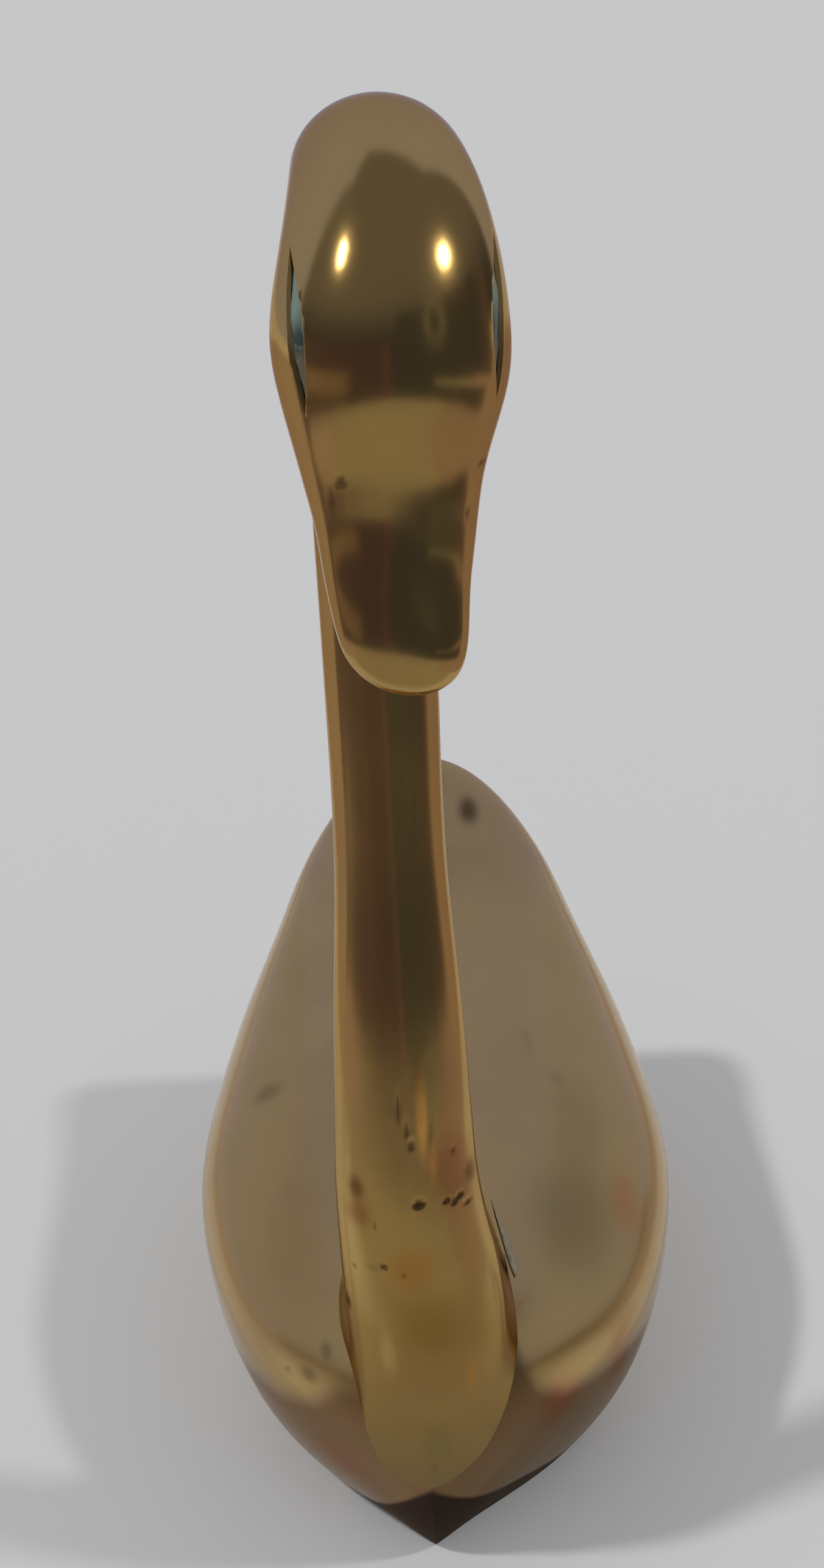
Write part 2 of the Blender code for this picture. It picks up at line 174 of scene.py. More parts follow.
BODY_STATIONS = [
    BodyStation(-1.7, 0.0, 13.0, 13.0, 13.0, 1.0),
    BodyStation(-0.6, 5.8, 19.0, 1.2, 13.6, 1.0),
    BodyStation(3.0, 11.6, 23.2, -3.6, 14.6, 1.0),
    BodyStation(10.0, 17.8, 25.2, -9.5, 15.6, 0.7),
    BodyStation(20.0, 21.8, 27.6, -12.2, 16.6, 0.4),
    BodyStation(30.0, 23.3, 30.0, -11.8, 17.5, 0.2),
    BodyStation(41.0, 22.5, 32.3, -8.5, 18.8, 0.0),
    BodyStation(52.0, 20.2, 35.2, -1.5, 21.2, 0.0),
    BodyStation(61.0, 17.0, 39.1, 8.5, 25.0, 0.0),
    BodyStation(67.5, 13.8, 42.4, 17.0, 29.5, 0.0),
    BodyStation(71.3, 9.4, 44.0, 23.5, 33.5, 0.0),
    BodyStation(BODY_REAR, 0.0, 34.5, 34.5, 34.5, 0.0),
]

NECK_STATIONS = [
    NeckStation(0.2, 6.8, 0.0, 0.0, 2.0),
    NeckStation(0.6, 8.2, 1.6, 1.6, 2.0),
    NeckStation(1.7, 13.5, 4.5, 3.5, 2.0),
    NeckStation(2.6, 20.0, 6.5, 4.6, 2.0),
    NeckStation(3.2, 26.5, 7.0, 4.9, 2.0),
    NeckStation(4.1, 33.0, 6.4, 4.5, 2.0),
    NeckStation(5.6, 41.0, 5.8, 3.9, 2.0),
    NeckStation(8.3, 53.0, 5.2, 3.7, 2.0),
    NeckStation(10.6, 64.0, 4.5, 3.6, 2.0),
    NeckStation(12.6, 78.0, 4.4, 3.6, 2.0),
    NeckStation(13.6, 92.0, 4.4, 3.6, 2.0),
    NeckStation(13.3, 103.0, 4.6, 3.7, 2.0),
    NeckStation(11.0, 112.2, 5.2, 4.1, 2.0),
    NeckStation(6.0, 118.0, 5.6, 4.9, 2.0),
    NeckStation(0.9, 114.3, 6.9, 5.4, 2.0),
    NeckStation(-1.4, 107.6, 7.6, 5.6, 2.0),
    NeckStation(-2.2, 101.4, 6.15, 4.25, 2.1),
    NeckStation(-3.0, 97.0, 5.25, 3.55, 2.2),
    NeckStation(-4.7, 91.6, 4.5, 2.7, 2.4),
    NeckStation(-5.5, 88.9, 3.7, 2.0, 2.5),
    NeckStation(-6.0, 87.0, 0.0, 0.0, 2.5),
]

# Leaf of the foot on the breast in front, and its long fillet behind. 0 degrees is the swan's left,
# 90 its front
FOOT_EDGES = [
    FootEdge(-90.0, -1.0, 24.5, 28.5),
    FootEdge(-70.0, 2.6, 22.5, 27.8),
    FootEdge(-52.0, 4.6, 18.0, 26.8),
    FootEdge(-36.0, 5.5, 13.5, 25.6),
    FootEdge(-20.0, 6.3, 8.5, 24.2),
    FootEdge(-5.0, 6.7, 5.3, 23.0),
    FootEdge(10.0, 6.75, 2.6, 21.0),
    FootEdge(25.0, 6.2, 0.8, 18.6),
    FootEdge(42.0, 5.0, -0.5, 15.6),
    FootEdge(60.0, 3.1, -1.2, 12.3),
    FootEdge(76.0, 0.6, -1.6, 9.8),
    FootEdge(92.0, -1.4, -1.6, 8.9),
    FootEdge(104.0, -3.4, -1.5, 9.6),
    FootEdge(118.0, -5.3, -0.9, 11.4),
    FootEdge(134.0, -6.3, -0.3, 14.2),
    FootEdge(150.0, -7.0, 0.6, 17.6),
    FootEdge(166.0, -7.8, 2.3, 20.4),
    FootEdge(182.0, -8.5, 5.0, 22.2),
    FootEdge(196.0, -8.6, 8.5, 24.0),
    FootEdge(214.0, -7.2, 13.5, 25.5),
    FootEdge(232.0, -6.4, 18.0, 26.6),
    FootEdge(252.0, -4.4, 22.5, 27.6),
]

# Darkening of the leaf by height, deeper towards the bottom, and where it ends towards the rear
LEAF_HEIGHTS, LEAF_REAR = (11.0, 18.0, 26.0, 32.0), (2.0, 6.0)
LEAF_SHADES = [(0.44, 0.45, 0.5), (0.58, 0.55, 0.5), (0.72, 0.64, 0.54), (1.0, 1.0, 1.0)]

# Line across the hull below which it is tarnished and darkened by painted shade of the shadowed floor
# that it mirrors, as sideways places and heights, the width of its edge, how far the hull has to face
# forward there, and the shade on each side
HULL_LINE = [(-22.0, 13.0), (-14.4, 14.8), (-11.2, 16.4), (-8.5, 19.0), (0.0, 21.0), (5.5, 23.5)]
HULL_LINE += [(6.8, 21.5), (8.3, 18.3), (11.0, 16.2), (14.0, 15.6), (17.4, 15.0), (22.0, 13.5)]
HULL_EDGE, HULL_FACING = (-2.2, 0.8), (0.1, 0.5)
HULL_SHADE_LEFT, HULL_SHADE_RIGHT = (0.39, 0.34, 0.37), (0.48, 0.4, 0.43)

# Painted shade on the underside of the bow, darkened as the shadow under it: its middle, its top there,
# how its edge falls on each side, the width of that edge, its end towards the rear, how little it faces
# back, and its shade
BOW_MIDDLE, BOW_TOP, BOW_FALL_LEFT, BOW_FALL_RIGHT, BOW_BEND_RIGHT = -1.2, 8.5, 0.52, 0.5, 0.09
BOW_EDGE, BOW_REAR, BOW_FACING = (-0.35, 0.35), (10.0, 16.0), 0.2
BOW_SHADE = (0.2, 0.22, 0.5)

# Angles between which the fillet has cracked away from the body, and where it is solid again
CRACK_SPAN = (-66.0, -58.0, -26.0, -16.0)

# Pits, stains, scratches and dents of the castings, and painted highlights on the neck casting
NECK_MARKS = [
    Mark((-1.0, 0.9, 38.3), (0.36, 1.0, 0.34), (0.36, 0.3, 0.3), 0.099),
    Mark((1.3, 1.4, 38.1), (0.25, 1.0, 0.22), (0.38, 0.3, 0.3), 0.072),
    Mark((1.9, 1.6, 37.8), (0.22, 1.0, 0.3), (0.41, 0.33, 0.32), 0.063),
    Mark((2.4, 1.8, 38.1), (0.29, 1.0, 0.26), (0.39, 0.31, 0.31), 0.072),
    Mark((3.0, 2.2, 37.2), (0.36, 1.0, 0.26), (0.6, 0.5, 0.49), 0.036),
    Mark((2.0, 2.9, 42.0), (0.22, 0.8, 0.22), (0.48, 0.38, 0.36), 0.045),
    Mark((1.9, 2.4, 40.3), (2.6, 2.5, 3.4), (0.8, 0.63, 0.66)),
    Mark((3.4, 3.4, 39.4), (0.7, 1.2, 1.0), (0.55, 0.55, 0.52)),
    Mark((-6.1, 2.2, 39.1), (0.7, 1.4, 1.1), (0.5, 0.4, 0.36)),
    Mark((-6.0, 1.9, 36.9), (1.2, 1.6, 1.2), (0.75, 0.6, 0.55)),
    Mark((-7.3, 1.9, 27.6), (0.4, 0.9, 0.8), (0.45, 0.42, 0.42)),
    Mark((-4.7, 0.8, 36.2), (0.12, 0.8, 0.38), (0.6, 0.5, 0.44), 0.023),
    Mark((-4.1, -0.2, 32.8), (0.32, 0.8, 0.26), (0.4, 0.38, 0.34), 0.081),
    Mark((-5.0, 0.2, 32.4), (0.7, 0.8, 0.35), (0.8, 0.84, 0.75)),
    Mark((-2.5, -0.7, 32.1), (0.18, 0.8, 0.19), (0.56, 0.44, 0.38), 0.032),
    Mark((-1.9, -0.6, 32.6), (2.1, 2.0, 1.9), (1.0, 0.78, 0.6)),
    Mark((-6.6, 1.0, 31.9), (0.18, 0.6, 0.26), (0.56, 0.48, 0.44), 0.023),
    Mark((-7.5, 1.9, 27.5), (0.36, 0.9, 0.56), (0.54, 0.54, 0.54), 0.045),
    Mark((-0.7, -1.2, 27.5), (2.4, 2.0, 3.2), (0.9, 0.88, 0.72)),
    Mark((-2.3, 2.9, 46.6), (0.12, 1.0, 1.12), (0.48, 0.42, 0.4), 0.045),
    Mark((-1.7, 2.6, 44.6), (0.14, 1.0, 0.75), (0.56, 0.47, 0.44), 0.045),
    Mark((-1.4, 2.3, 43.2), (0.25, 1.0, 0.22), (0.46, 0.39, 0.38), 0.054),
    # Painted highlights: bright streaks down the neck's front and glints on the foot, three over slight raised
    # ridges
    Mark((-0.45, 3.0, 46.0), (0.42, 1.4, 4.6), (2.0, 1.55, 1.1), -0.04),
    Mark((0.3, 2.2, 42.2), (0.35, 1.2, 2.2), (1.35, 1.2, 1.0), -0.04),
    Mark((-4.1, -1.1, 24.6), (0.65, 1.0, 2.2), (1.3, 1.38, 1.5), -0.05),
    Mark((2.8, -1.5, 21.6), (0.35, 1.0, 1.8), (1.25, 1.0, 0.75)),
    Mark((-0.9, -1.8, 11.8), (0.32, 0.8, 0.3), (0.6, 0.58, 0.6), 0.023),
    Mark((-0.4, -1.8, 14.4), (1.4, 1.0, 1.5), (0.85, 0.92, 0.85)),
    Mark((-3.2, -6.0, 101.6), (0.22, 0.8, 0.19), (0.4, 0.34, 0.32), 0.063),
    Mark((-3.9, -5.6, 100.5), (0.14, 0.8, 0.98), (0.68, 0.6, 0.56), 0.036),
    Mark((5.8, -3.2, 101.4), (0.36, 0.9, 0.22), (0.44, 0.39, 0.36), 0.063),
    Mark((4.7, -4.2, 98.4), (0.14, 0.6, 0.38), (0.52, 0.46, 0.44), 0.036),
    # Painted highlight: a pale streak on the head, over a slight raised ridge
    Mark((-4.2, -5.3, 113.6), (0.2, 0.6, 0.5), (1.5, 1.5, 1.5), -0.05),
    Mark((-1.4, -6.5, 96.8), (3.2, 3.0, 2.6), (1.0, 1.0, 1.0), 0.13),
    Mark((3.2, -5.8, 94.2), (2.4, 3.0, 3.3), (1.0, 1.0, 1.0), 0.24),
]

BODY_MARKS = [
    Mark((-16.1, 32.2, 26.9), (1.6, 1.2, 1.6), (0.68, 0.64, 0.62), 0.036),
    Mark((-9.8, 3.6, 20.1), (0.5, 1.2, 0.8), (0.6, 0.58, 0.57), 0.036),
    Mark((-11.5, 3.4, 17.8), (0.9, 1.2, 0.7), (0.6, 0.58, 0.56), 0.023),
    Mark((-13.4, 5.0, 17.0), (0.3, 0.6, 0.3), (0.6, 0.56, 0.54), 0.023),
    Mark((12.8, 15.2, 24.1), (4.5, 7.0, 4.0), (0.68, 0.7, 0.66)),
    Mark((14.0, 26.0, 26.4), (3.0, 6.0, 3.0), (0.85, 0.84, 0.8)),
    Mark((17.9, 18.8, 22.5), (1.6, 3.5, 2.5), (1.05, 0.76, 0.66)),
    Mark((16.3, 8.1, 14.2), (1.6, 2.0, 3.0), (1.05, 0.72, 0.66)),
    Mark((10.2, 2.6, 14.6), (2.4, 2.4, 2.2), (1.1, 0.72, 0.66)),
    Mark((-9.6, 1.9, 9.1), (3.0, 3.0, 2.4), (1.12, 0.86, 0.82)),
    Mark((-13.0, 14.0, 23.5), (3.0, 7.0, 3.0), (0.92, 0.84, 0.8)),
    Mark((9.7, 34.9, 29.9), (0.35, 2.2, 0.6), (0.85, 0.84, 0.82)),
    Mark((12.5, 30.8, 28.2), (0.8, 1.0, 0.8), (0.86, 0.86, 0.85)),
    Mark((5.3, 65.0, 40.3), (1.2, 2.2, 1.6), (0.36, 0.33, 0.32)),
]


# Curves through stations


class Track:
    """Smooth curve through stations, laid out by the distance between them."""

    def __init__(self, stations, centre_fields):
        self.fields = stations[0]._fields
        self.values = np.array(stations, dtype=float)
        steps = np.linalg.norm(np.diff(self.values[:, :4], axis=0), axis=1)
        self.knots = np.concatenate(([0.0], np.cumsum(steps)))
        columns = []
        for field, values in zip(self.fields, self.values.T):
            columns.append(spline_slopes(self.knots, values, field in centre_fields))
        self.slopes = np.array(columns).T

    def length(self):
        """Place of the last station."""
        return self.knots[-1]

    def at(self, place):
        """Fields at the places asked for, one row each."""
        place = np.asarray(place, dtype=float)
        span = np.clip(np.searchsorted(self.knots, place) - 1, 0, len(self.knots) - 2)
        gap = (self.knots[span + 1] - self.knots[span])[..., None]
        t = (place - self.knots[span])[..., None] / gap
        start = self.values[span] * (1 + 2 * t) * (1 - t) ** 2
        end = self.values[span + 1] * t**2 * (3 - 2 * t)
        bend = self.slopes[span] * t * (1 - t) ** 2 - self.slopes[span + 1] * t**2 * (1 - t)
        return start + end + gap * bend

    def column(self, name, place):
        """One field at the places asked for."""
        return self.at(place)[..., self.fields.index(name)]


def spline_slopes(knots, values, flat_ends):
    """Slopes of the smooth cubic through the values, level at its ends or free there."""
    count = len(knots)
    gap = np.diff(knots)
    rise = np.diff(values) / gap
    system = np.zeros((count, count))
    target = np.zeros(count)
    for i in range(1, count - 1):
        system[i, i - 1] = 1 / gap[i - 1]
        system[i, i] = 2 / gap[i - 1] + 2 / gap[i]
        system[i, i + 1] = 1 / gap[i]
        target[i] = 3 * (rise[i - 1] / gap[i - 1] + rise[i] / gap[i])
    for end, beside in ((0, 1), (-1, -2)):
        system[end, end] = 1 if flat_ends else 2
        system[end, beside] = 0 if flat_ends else 1
        target[end] = 0 if flat_ends else 3 * rise[end]
    return np.linalg.solve(system, target)


def body_track():
    """Curve through the body's stations."""
    return Track(BODY_STATIONS, ("along", "widest_at"))


def neck_track():
    """Curve through the stations of the neck and head."""
    return Track(NECK_STATIONS, ("along", "height"))


def ring_angles(count):
    """Angles of even steps round a ring."""
    return 2 * np.pi * np.arange(count) / count


def ease(value, low, high):
    """Smooth step from 0 at the low end to 1 at the high end."""
    t = np.clip((value - low) / (high - low), 0.0, 1.0)
    return t * t * (3 - 2 * t)


def bow_offset(y, z):
    """Sideways set of the bow, fading out along the body and up the breast."""
    return BOW_SET * (1 - ease(y, 0.0, BOW_SET_REACH)) * (1 - ease(z, 0.0, BOW_SET_TOP))


def body_points(fields, angle, inset):
    """Points of the body's sections at the angles, drawn in by the inset."""
    along, half_width, top, bottom, widest, keel = np.moveaxis(fields, -1, 0)
    share = 1 - np.abs(angle / np.pi * 2 - 3)
    down = (1 - keel) * -np.sin(angle) + keel * share
    up = np.where(angle <= np.pi, np.sin(angle) * (top - widest - inset), -down * (widest - bottom - inset))
    z = widest + up
    x = np.cos(angle) * (half_width - inset) + bow_offset(along, z)
    return np.stack(np.broadcast_arrays(x, along, z), -1)


def neck_points(track, place, angle):
    """Points of the neck and head. Angle 0 is the swan's left and a quarter turn on is its front."""
    step = 0.01
    along, height, half_width, half_depth, power = np.moveaxis(track.at(place), -1, 0)
    low = np.clip(place - step, 0.0, track.length())
    high = np.clip(place + step, 0.0, track.length())
    run = track.column("along", high) - track.column("along", low)
    rise = track.column("height", high) - track.column("height", low)
    size = np.hypot(run, rise)
    out_y, out_z = rise / size, -run / size
    c, s = np.cos(angle), np.sin(angle)
    across = np.sign(c) * np.abs(c) ** (2 / power) * half_width
    deep = -np.sign(s) * np.abs(s) ** (2 / power) * half_depth
    return lean_and_turn(across, along + out_y * deep, height + out_z * deep)


def neck_rings(track, places, angle):
    """Rings of the neck at the places, all with the same angles."""
    return neck_points(track, places[:, None] + 0 * angle, angle + 0 * places[:, None])


def neck_axis():
    """Y of the upright line that the head turns about."""
    return max(station.along for station in NECK_STATIONS)


def lean_and_turn(x, y, z):
    """Sideways set of the neck casting at each height, and the set and slant of the bill."""
    turn = math.radians(HEAD_TURN) * ease(z, TURN_BOTTOM, TURN_TOP)
    arm = y - neck_axis()
    lean = NECK_LEAN * ease(z, LEAN_BOTTOM, LEAN_TOP)
    turned_x = x * np.cos(turn) - arm * np.sin(turn)
    turned_y = x * np.sin(turn) + arm * np.cos(turn) + neck_axis()
    face = (turned_y < BILL_BACK) & (z > TURN_BOTTOM)
    cheek = ease(z, *BILL_SET_BOTTOM) * (1 - ease(z, *BILL_SET_TOP))
    aside = np.where(face, BILL_SET * cheek, 0.0)
    slant = BILL_SLANT * (turned_x - BILL_MIDDLE) * (1 - ease(z, *BILL_SLANT_REACH))
    drop = np.where(face, slant, 0.0)
    crown = CROWN_SET * ease(z, CROWN_BOTTOM, CROWN_TOP)
    return np.stack((turned_x + lean + aside + crown + bow_offset(turned_y, z), turned_y, z - drop), -1)


# Meshes


def to_model(points):
    """Points in millimetres from the bow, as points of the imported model."""
    return [Vector(point) * MM + BASE for point in points]


def ring_faces(rows, around, closed=False):
    """Quads between neighbouring rings of a grid, and from its last ring to its first if it is closed."""
    faces = []
    for j in range(rows if closed else rows - 1):
        low, high = j * around, (j + 1) % rows * around
        for i in range(around):
            k = (i + 1) % around
            faces.append((low + i, low + k, high + k, high + i))
    return faces


def grid_mesh(name, grid, start_pole=None, end_pole=None):
    """Closed mesh through rows of rings in millimetres, each end drawn to a point or capped flat."""
    rows, around = grid.shape[:2]
    points = list(grid.reshape(-1, 3))
    faces = ring_faces(rows, around)
    for pole, first in ((start_pole, 0), (end_pole, (rows - 1) * around)):
        ring = list(range(first, first + around))
        if pole is None:
            faces.append(tuple(ring))
            continue
        points.append(pole)
        for i in range(around):
            faces.append((ring[i], ring[(i + 1) % around], len(points) - 1))
    mesh = bpy.data.meshes.new(name)
    mesh.from_pydata(to_model(points), [], faces)
    face_out(mesh)
    return mesh


def face_out(mesh):
    """Turns all faces of a closed mesh outwards."""
    work = bmesh.new()
    work.from_mesh(mesh)
    bmesh.ops.recalc_face_normals(work, faces=work.faces)
    work.to_mesh(mesh)
    work.free()


def new_object(name, data):
    """Object with the data, in the scene."""
    item = bpy.data.objects.new(name, data)
    bpy.context.scene.collection.objects.link(item)
    return item


def carve(mesh, tools, round_edges, width):
    """Mesh after exact Booleans with the tools, and with the chosen sharp edges rounded over."""
    item = new_object("uncut", mesh)
    spare = [item]
    for tool, operation in tools:
        cutter = new_object("tool", tool)
        spare.append(cutter)
        modifier = item.modifiers.new("cut", "BOOLEAN")
        modifier.object = cutter
        modifier.operation = operation
        modifier.solver = "EXACT"
    result = evaluated_mesh(item)
    weigh_edges(result, round_edges)
    item.modifiers.clear()
    item.data = result
    bevel = item.modifiers.new("round", "BEVEL")
    bevel.limit_method = "WEIGHT"
    bevel.width = width
    bevel.segments = 2
    result = evaluated_mesh(item)
    for used in spare:
        bpy.data.objects.remove(used, do_unlink=True)
    return result


def evaluated_mesh(item):
    """New mesh of the object as its modifiers leave it."""
    graph = bpy.context.evaluated_depsgraph_get()
    graph.update()
    return bpy.data.meshes.new_from_object(item.evaluated_get(graph))


def weigh_edges(mesh, wanted):
    """Marks the sharp edges for rounding whose middle the test picks."""
    work = bmesh.new()
    work.from_mesh(mesh)
    layer = work.edges.layers.float.new("bevel_weight_edge")
    for edge in work.edges:
        middle = ((edge.verts[0].co + edge.verts[1].co) / 2 - BASE) / MM
        if len(edge.link_faces) == 2 and edge.calc_face_angle(0.0) > ROUNDED_EDGE and wanted(middle):
            edge[layer] = 1.0
    work.to_mesh(mesh)
    work.free()


def stains_dents_and_painted_light(mesh, marks, wash=None):
    """Presses the marks into the mesh and keeps their tints and the wash, painted light among them, in its
    stain attribute.
    """
    count = len(mesh.vertices)
    flat = np.empty(count * 3)
    mesh.vertices.foreach_get("co", flat)
    place = (flat.reshape(-1, 3) - np.array(BASE)) / MM
    normals = np.empty(count * 3)
    mesh.vertices.foreach_get("normal", normals)
    tint = np.ones((count, 3))
    depth = np.zeros(count)
    for mark in marks:
        apart = (place - np.array(mark.place)) / np.array(mark.reach)
        reach = np.exp(-((apart**2).sum(axis=1) ** 1.5))
        tint *= 1 + reach[:, None] * (np.array(mark.tint) - 1)
        depth += reach * mark.depth
    if wash:
        tint *= wash(place, normals.reshape(-1, 3))
    moved = flat.reshape(-1, 3) - normals.reshape(-1, 3) * depth[:, None] * MM
    mesh.vertices.foreach_set("co", moved.ravel())
    layer = mesh.attributes.new("stain", "FLOAT_COLOR", "POINT")
    layer.data.foreach_set("color", np.concatenate((tint, np.ones((count, 1))), axis=1).ravel())
    mesh.update()


def bar_along_y(name, radius, start, end, height):
    """Round bar along Y for the spigot and its hole."""
    turn = ring_angles(SPIGOT_AROUND)
    rows = []
    for y in (start, end):
        rows.append(np.stack((np.cos(turn) * radius, 0 * turn + y, np.sin(turn) * radius + height), -1))
    return grid_mesh(name, np.array(rows))


def add_piece(name, mesh, material, node=None):
    """Object of the swan that rides with the figure."""
    mesh.materials.clear()
    mesh.materials.append(material)
    mesh.shade_smooth()
    mesh.set_sharp_from_angle(angle=math.radians(SHARP_EDGE))
    item = new_object(name, mesh)
    if node:
        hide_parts(node)
    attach(item, "root")
    return item


# Body casting


def body_loft(rings, around):
    """Outside of the body as a grid, with its two closing points."""
    track = body_track()
    place = np.linspace(0, track.length(), rings + 2)[1:-1]
    angle = ring_angles(around)
    grid = body_points(track.at(place)[:, None, :], angle[None, :], 0.0)
    ends = [body_points(track.at(end), np.array(0.0), 0.0) for end in (0.0, track.length())]
    return grid, ends[0], ends[1]


def foot_rear():
    """Y of the back of the neck's foot, where it lies deepest in the breast."""
    track = neck_track()
    fields = track.at(np.linspace(0, track.length(), FOOT_SAMPLES))
    low = fields[fields[:, 1] < BREAST_TOP]
    return float((low[:, 0] + low[:, 3]).max())


def cavity_front():
    """Y of the front of the hollow."""
    return foot_rear() + CLEARANCE + BREAST_WALL


def cavity_core():
    """Core that leaves the wall of the casting."""
    track = body_track()
    fields = track.at(np.linspace(0, track.length(), CORE_SAMPLES))
    sections = []
    for y in np.linspace(cavity_front(), CAVITY_REAR, CORE_RINGS):
        sections.append([float(np.interp(y, fields[:, 0], column)) for column in fields.T])
    angle = ring_angles(CORE_AROUND)
    return grid_mesh("core", body_points(np.array(sections)[:, None, :], angle[None, :], WALL))


def ground_block():
    """Block under the ground plane that planes the rim flat."""
    sides = ((-1, GROUND_FRONT), (1, GROUND_FRONT), (1, GROUND_REAR), (-1, GROUND_REAR))
    rows = [[(side * GROUND_HALF_WIDTH, y, z) for side, y in sides] for z in (-GROUND_DEPTH, 0.0)]
    return grid_mesh("ground", np.array(rows))


def neck_seat():
    """Foot of the neck swollen by the clearance."""
    track = neck_track()
    grid = neck_rings(track, np.linspace(*SEAT_SPAN, SEAT_ROWS), ring_angles(SEAT_AROUND))
    middle = grid.mean(axis=1, keepdims=True)
    away = grid - middle
    grid = middle + away * (1 + SEAT_CLEARANCE / np.linalg.norm(away, axis=2, keepdims=True))
    start = middle[0, 0] - (middle[1, 0] - middle[0, 0]) * 0.5
    return grid_mesh("seat", grid, start, None)


def hull_tarnish_and_painted_shade(place, normals):
    """Tarnish and painted shade of the hull beside the foot, and painted shade on the underside of the bow."""
    x, y, z = place.T
    left_side = x > BOW_MIDDLE
    reach = np.abs(x - BOW_MIDDLE)
    right_edge = BOW_TOP - BOW_FALL_RIGHT * reach - BOW_BEND_RIGHT * reach**2
    edge = np.where(left_side, BOW_TOP - BOW_FALL_LEFT * reach, right_edge)
    # Painted shade: the underside of the bow, darkened near the ground
    under = (1 - ease(z - edge, *BOW_EDGE)) * (1 - ease(y, *BOW_REAR)) * (normals[:, 1] < BOW_FACING)
    # Painted shade with tarnish: the hull below the line is darkened as if it mirrored the shadowed floor
    line = np.interp(x, *np.transpose(HULL_LINE))
    low = (1 - ease(z - line, *HULL_EDGE)) * ease(-normals[:, 1], *HULL_FACING)
    shade = np.where(left_side[:, None], HULL_SHADE_LEFT, HULL_SHADE_RIGHT)
    tint = 1 + low[:, None] * (shade - 1)
    return tint * (1 + under[:, None] * (np.array(BOW_SHADE) - 1))


def on_rim(middle):
    """Whether the middle of an edge lies on the ground rim."""
    return middle.z < RIM_LEVEL


def build_body(sizes, colours):
    """Body casting, hollowed, planed flat at the ground and seated for the neck."""
    mesh = grid_mesh("body", *body_loft(BODY_RINGS, BODY_AROUND))
    hole = bar_along_y("hole", SPIGOT_RADIUS + CLEARANCE, 0.0, cavity_front() + WALL, SPIGOT_HEIGHT)
    tools = [(tool, "DIFFERENCE") for tool in (cavity_core(), ground_block(), hole, neck_seat())]
    mesh = carve(mesh, tools, on_rim, sizes.rim_round)
    stains_dents_and_painted_light(mesh, BODY_MARKS, hull_tarnish_and_painted_shade)
    material = metal_material("body_brass", colours.body, colours.tarnish, BODY_FINISH)
    add_piece("body_casting", mesh, material, "body_shell")


# Neck casting


def body_tree():
    """Search tree of the body's outside, in millimetres."""
    grid, start, end = body_loft(BODY_RINGS, BODY_AROUND)
    rows, around = grid.shape[:2]
    points = [Vector(p) for p in grid.reshape(-1, 3)] + [Vector(start), Vector(end)]
    faces = ring_faces(rows, around)
    for i in range(around):
        k = (i + 1) % around
        faces.append((i, len(points) - 2, k))
        faces.append(((rows - 1) * around + i, (rows - 1) * around + k, len(points) - 1))
    return BVHTree.FromPolygons(points, faces)


def above_body(tree, point):
    """Nearest point of the body's outside, its outward direction and the height above it."""
    near, normal, _, _ = tree.find_nearest(Vector(point))
    outward = np.array(normal)
    along = min(max(near.y, HEART_FRONT), HEART_REAR)
    heart = np.array((0.0, along, HEART_HEIGHT + HEART_RISE * near.y))
    if outward @ (np.array(near) - heart) < 0:
        outward = -outward
    return np.array(near), outward, float((np.array(point) - np.array(near)) @ outward)


def onto_body(tree, points, heights):
    """Points laid on the body's outside, each raised off it by its height."""
    laid = []
    for point, height in zip(points, heights):
        near, outward, _ = above_body(tree, point)
        laid.append(near + outward * height)
    return np.array(laid)


def lift(tree, point, least):
    """Point moved out until it stands the least height above the body."""
    _, outward, height = above_body(tree, point)
    return point + outward * max(0.0, least - height)


def periodic(angles, values, at):
    """Smooth closed curve through values at angles in degrees."""
    order = np.argsort(angles)
    knots = np.array(angles)[order]
    rows = np.array(values)[order]
    knots = np.concatenate((knots[-3:] - 360, knots, knots[:3] + 360))
    rows = np.concatenate((rows[-3:], rows, rows[:3]))
    at = (at - knots[3]) % 360 + knots[3]
    span = np.clip(np.searchsorted(knots, at) - 1, 1, len(knots) - 3)
    slope = (rows[2:] - rows[:-2]) / (knots[2:] - knots[:-2])[:, None]
    gap = (knots[span + 1] - knots[span])[:, None]
    t = (at - knots[span])[:, None] / gap
    start = rows[span] * (1 + 2 * t) * (1 - t) ** 2 + rows[span + 1] * t**2 * (3 - 2 * t)
    return start + gap * (slope[span - 1] * t * (1 - t) ** 2 - slope[span] * t**2 * (1 - t))


def neck_angles():
    """Angles of the neck's long lines, closer together on its front."""
    turn = ring_angles(NECK_AROUND)
    return turn + NECK_CROWDING * np.cos(turn)


def entry_places(track, tree, angle):
    """How far up each long line of the neck it comes out of the body."""
    place = np.arange(ENTRY_BOTTOM, ENTRY_TOP, ENTRY_STEP)
    grid = neck_rings(track, place, angle)
    entries = []
    for i in range(len(angle)):
        height = np.array([above_body(tree, point)[2] for point in grid[:, i]])
        last = int(np.flatnonzero(height < 0).max())
        share = height[last] / (height[last] - height[last + 1])
        entries.append(place[last] + share * ENTRY_STEP)
    return smooth_ring(np.array(entries))


def smooth_ring(values):
    """Closed row of values, smoothed a few times over."""
    for _ in range(RING_SMOOTHINGS):
        values = (np.roll(values, 1) + 2 * values + np.roll(values, -1)) / 4
    return values


def foot_edge(tree, angle, lift_height):
    """Outer edge of the foot on the body, lifted by its height at each angle."""
    table = np.array(FOOT_EDGES)
    return onto_body(tree, periodic(table[:, 0], table[:, 1:], np.degrees(angle)), lift_height)


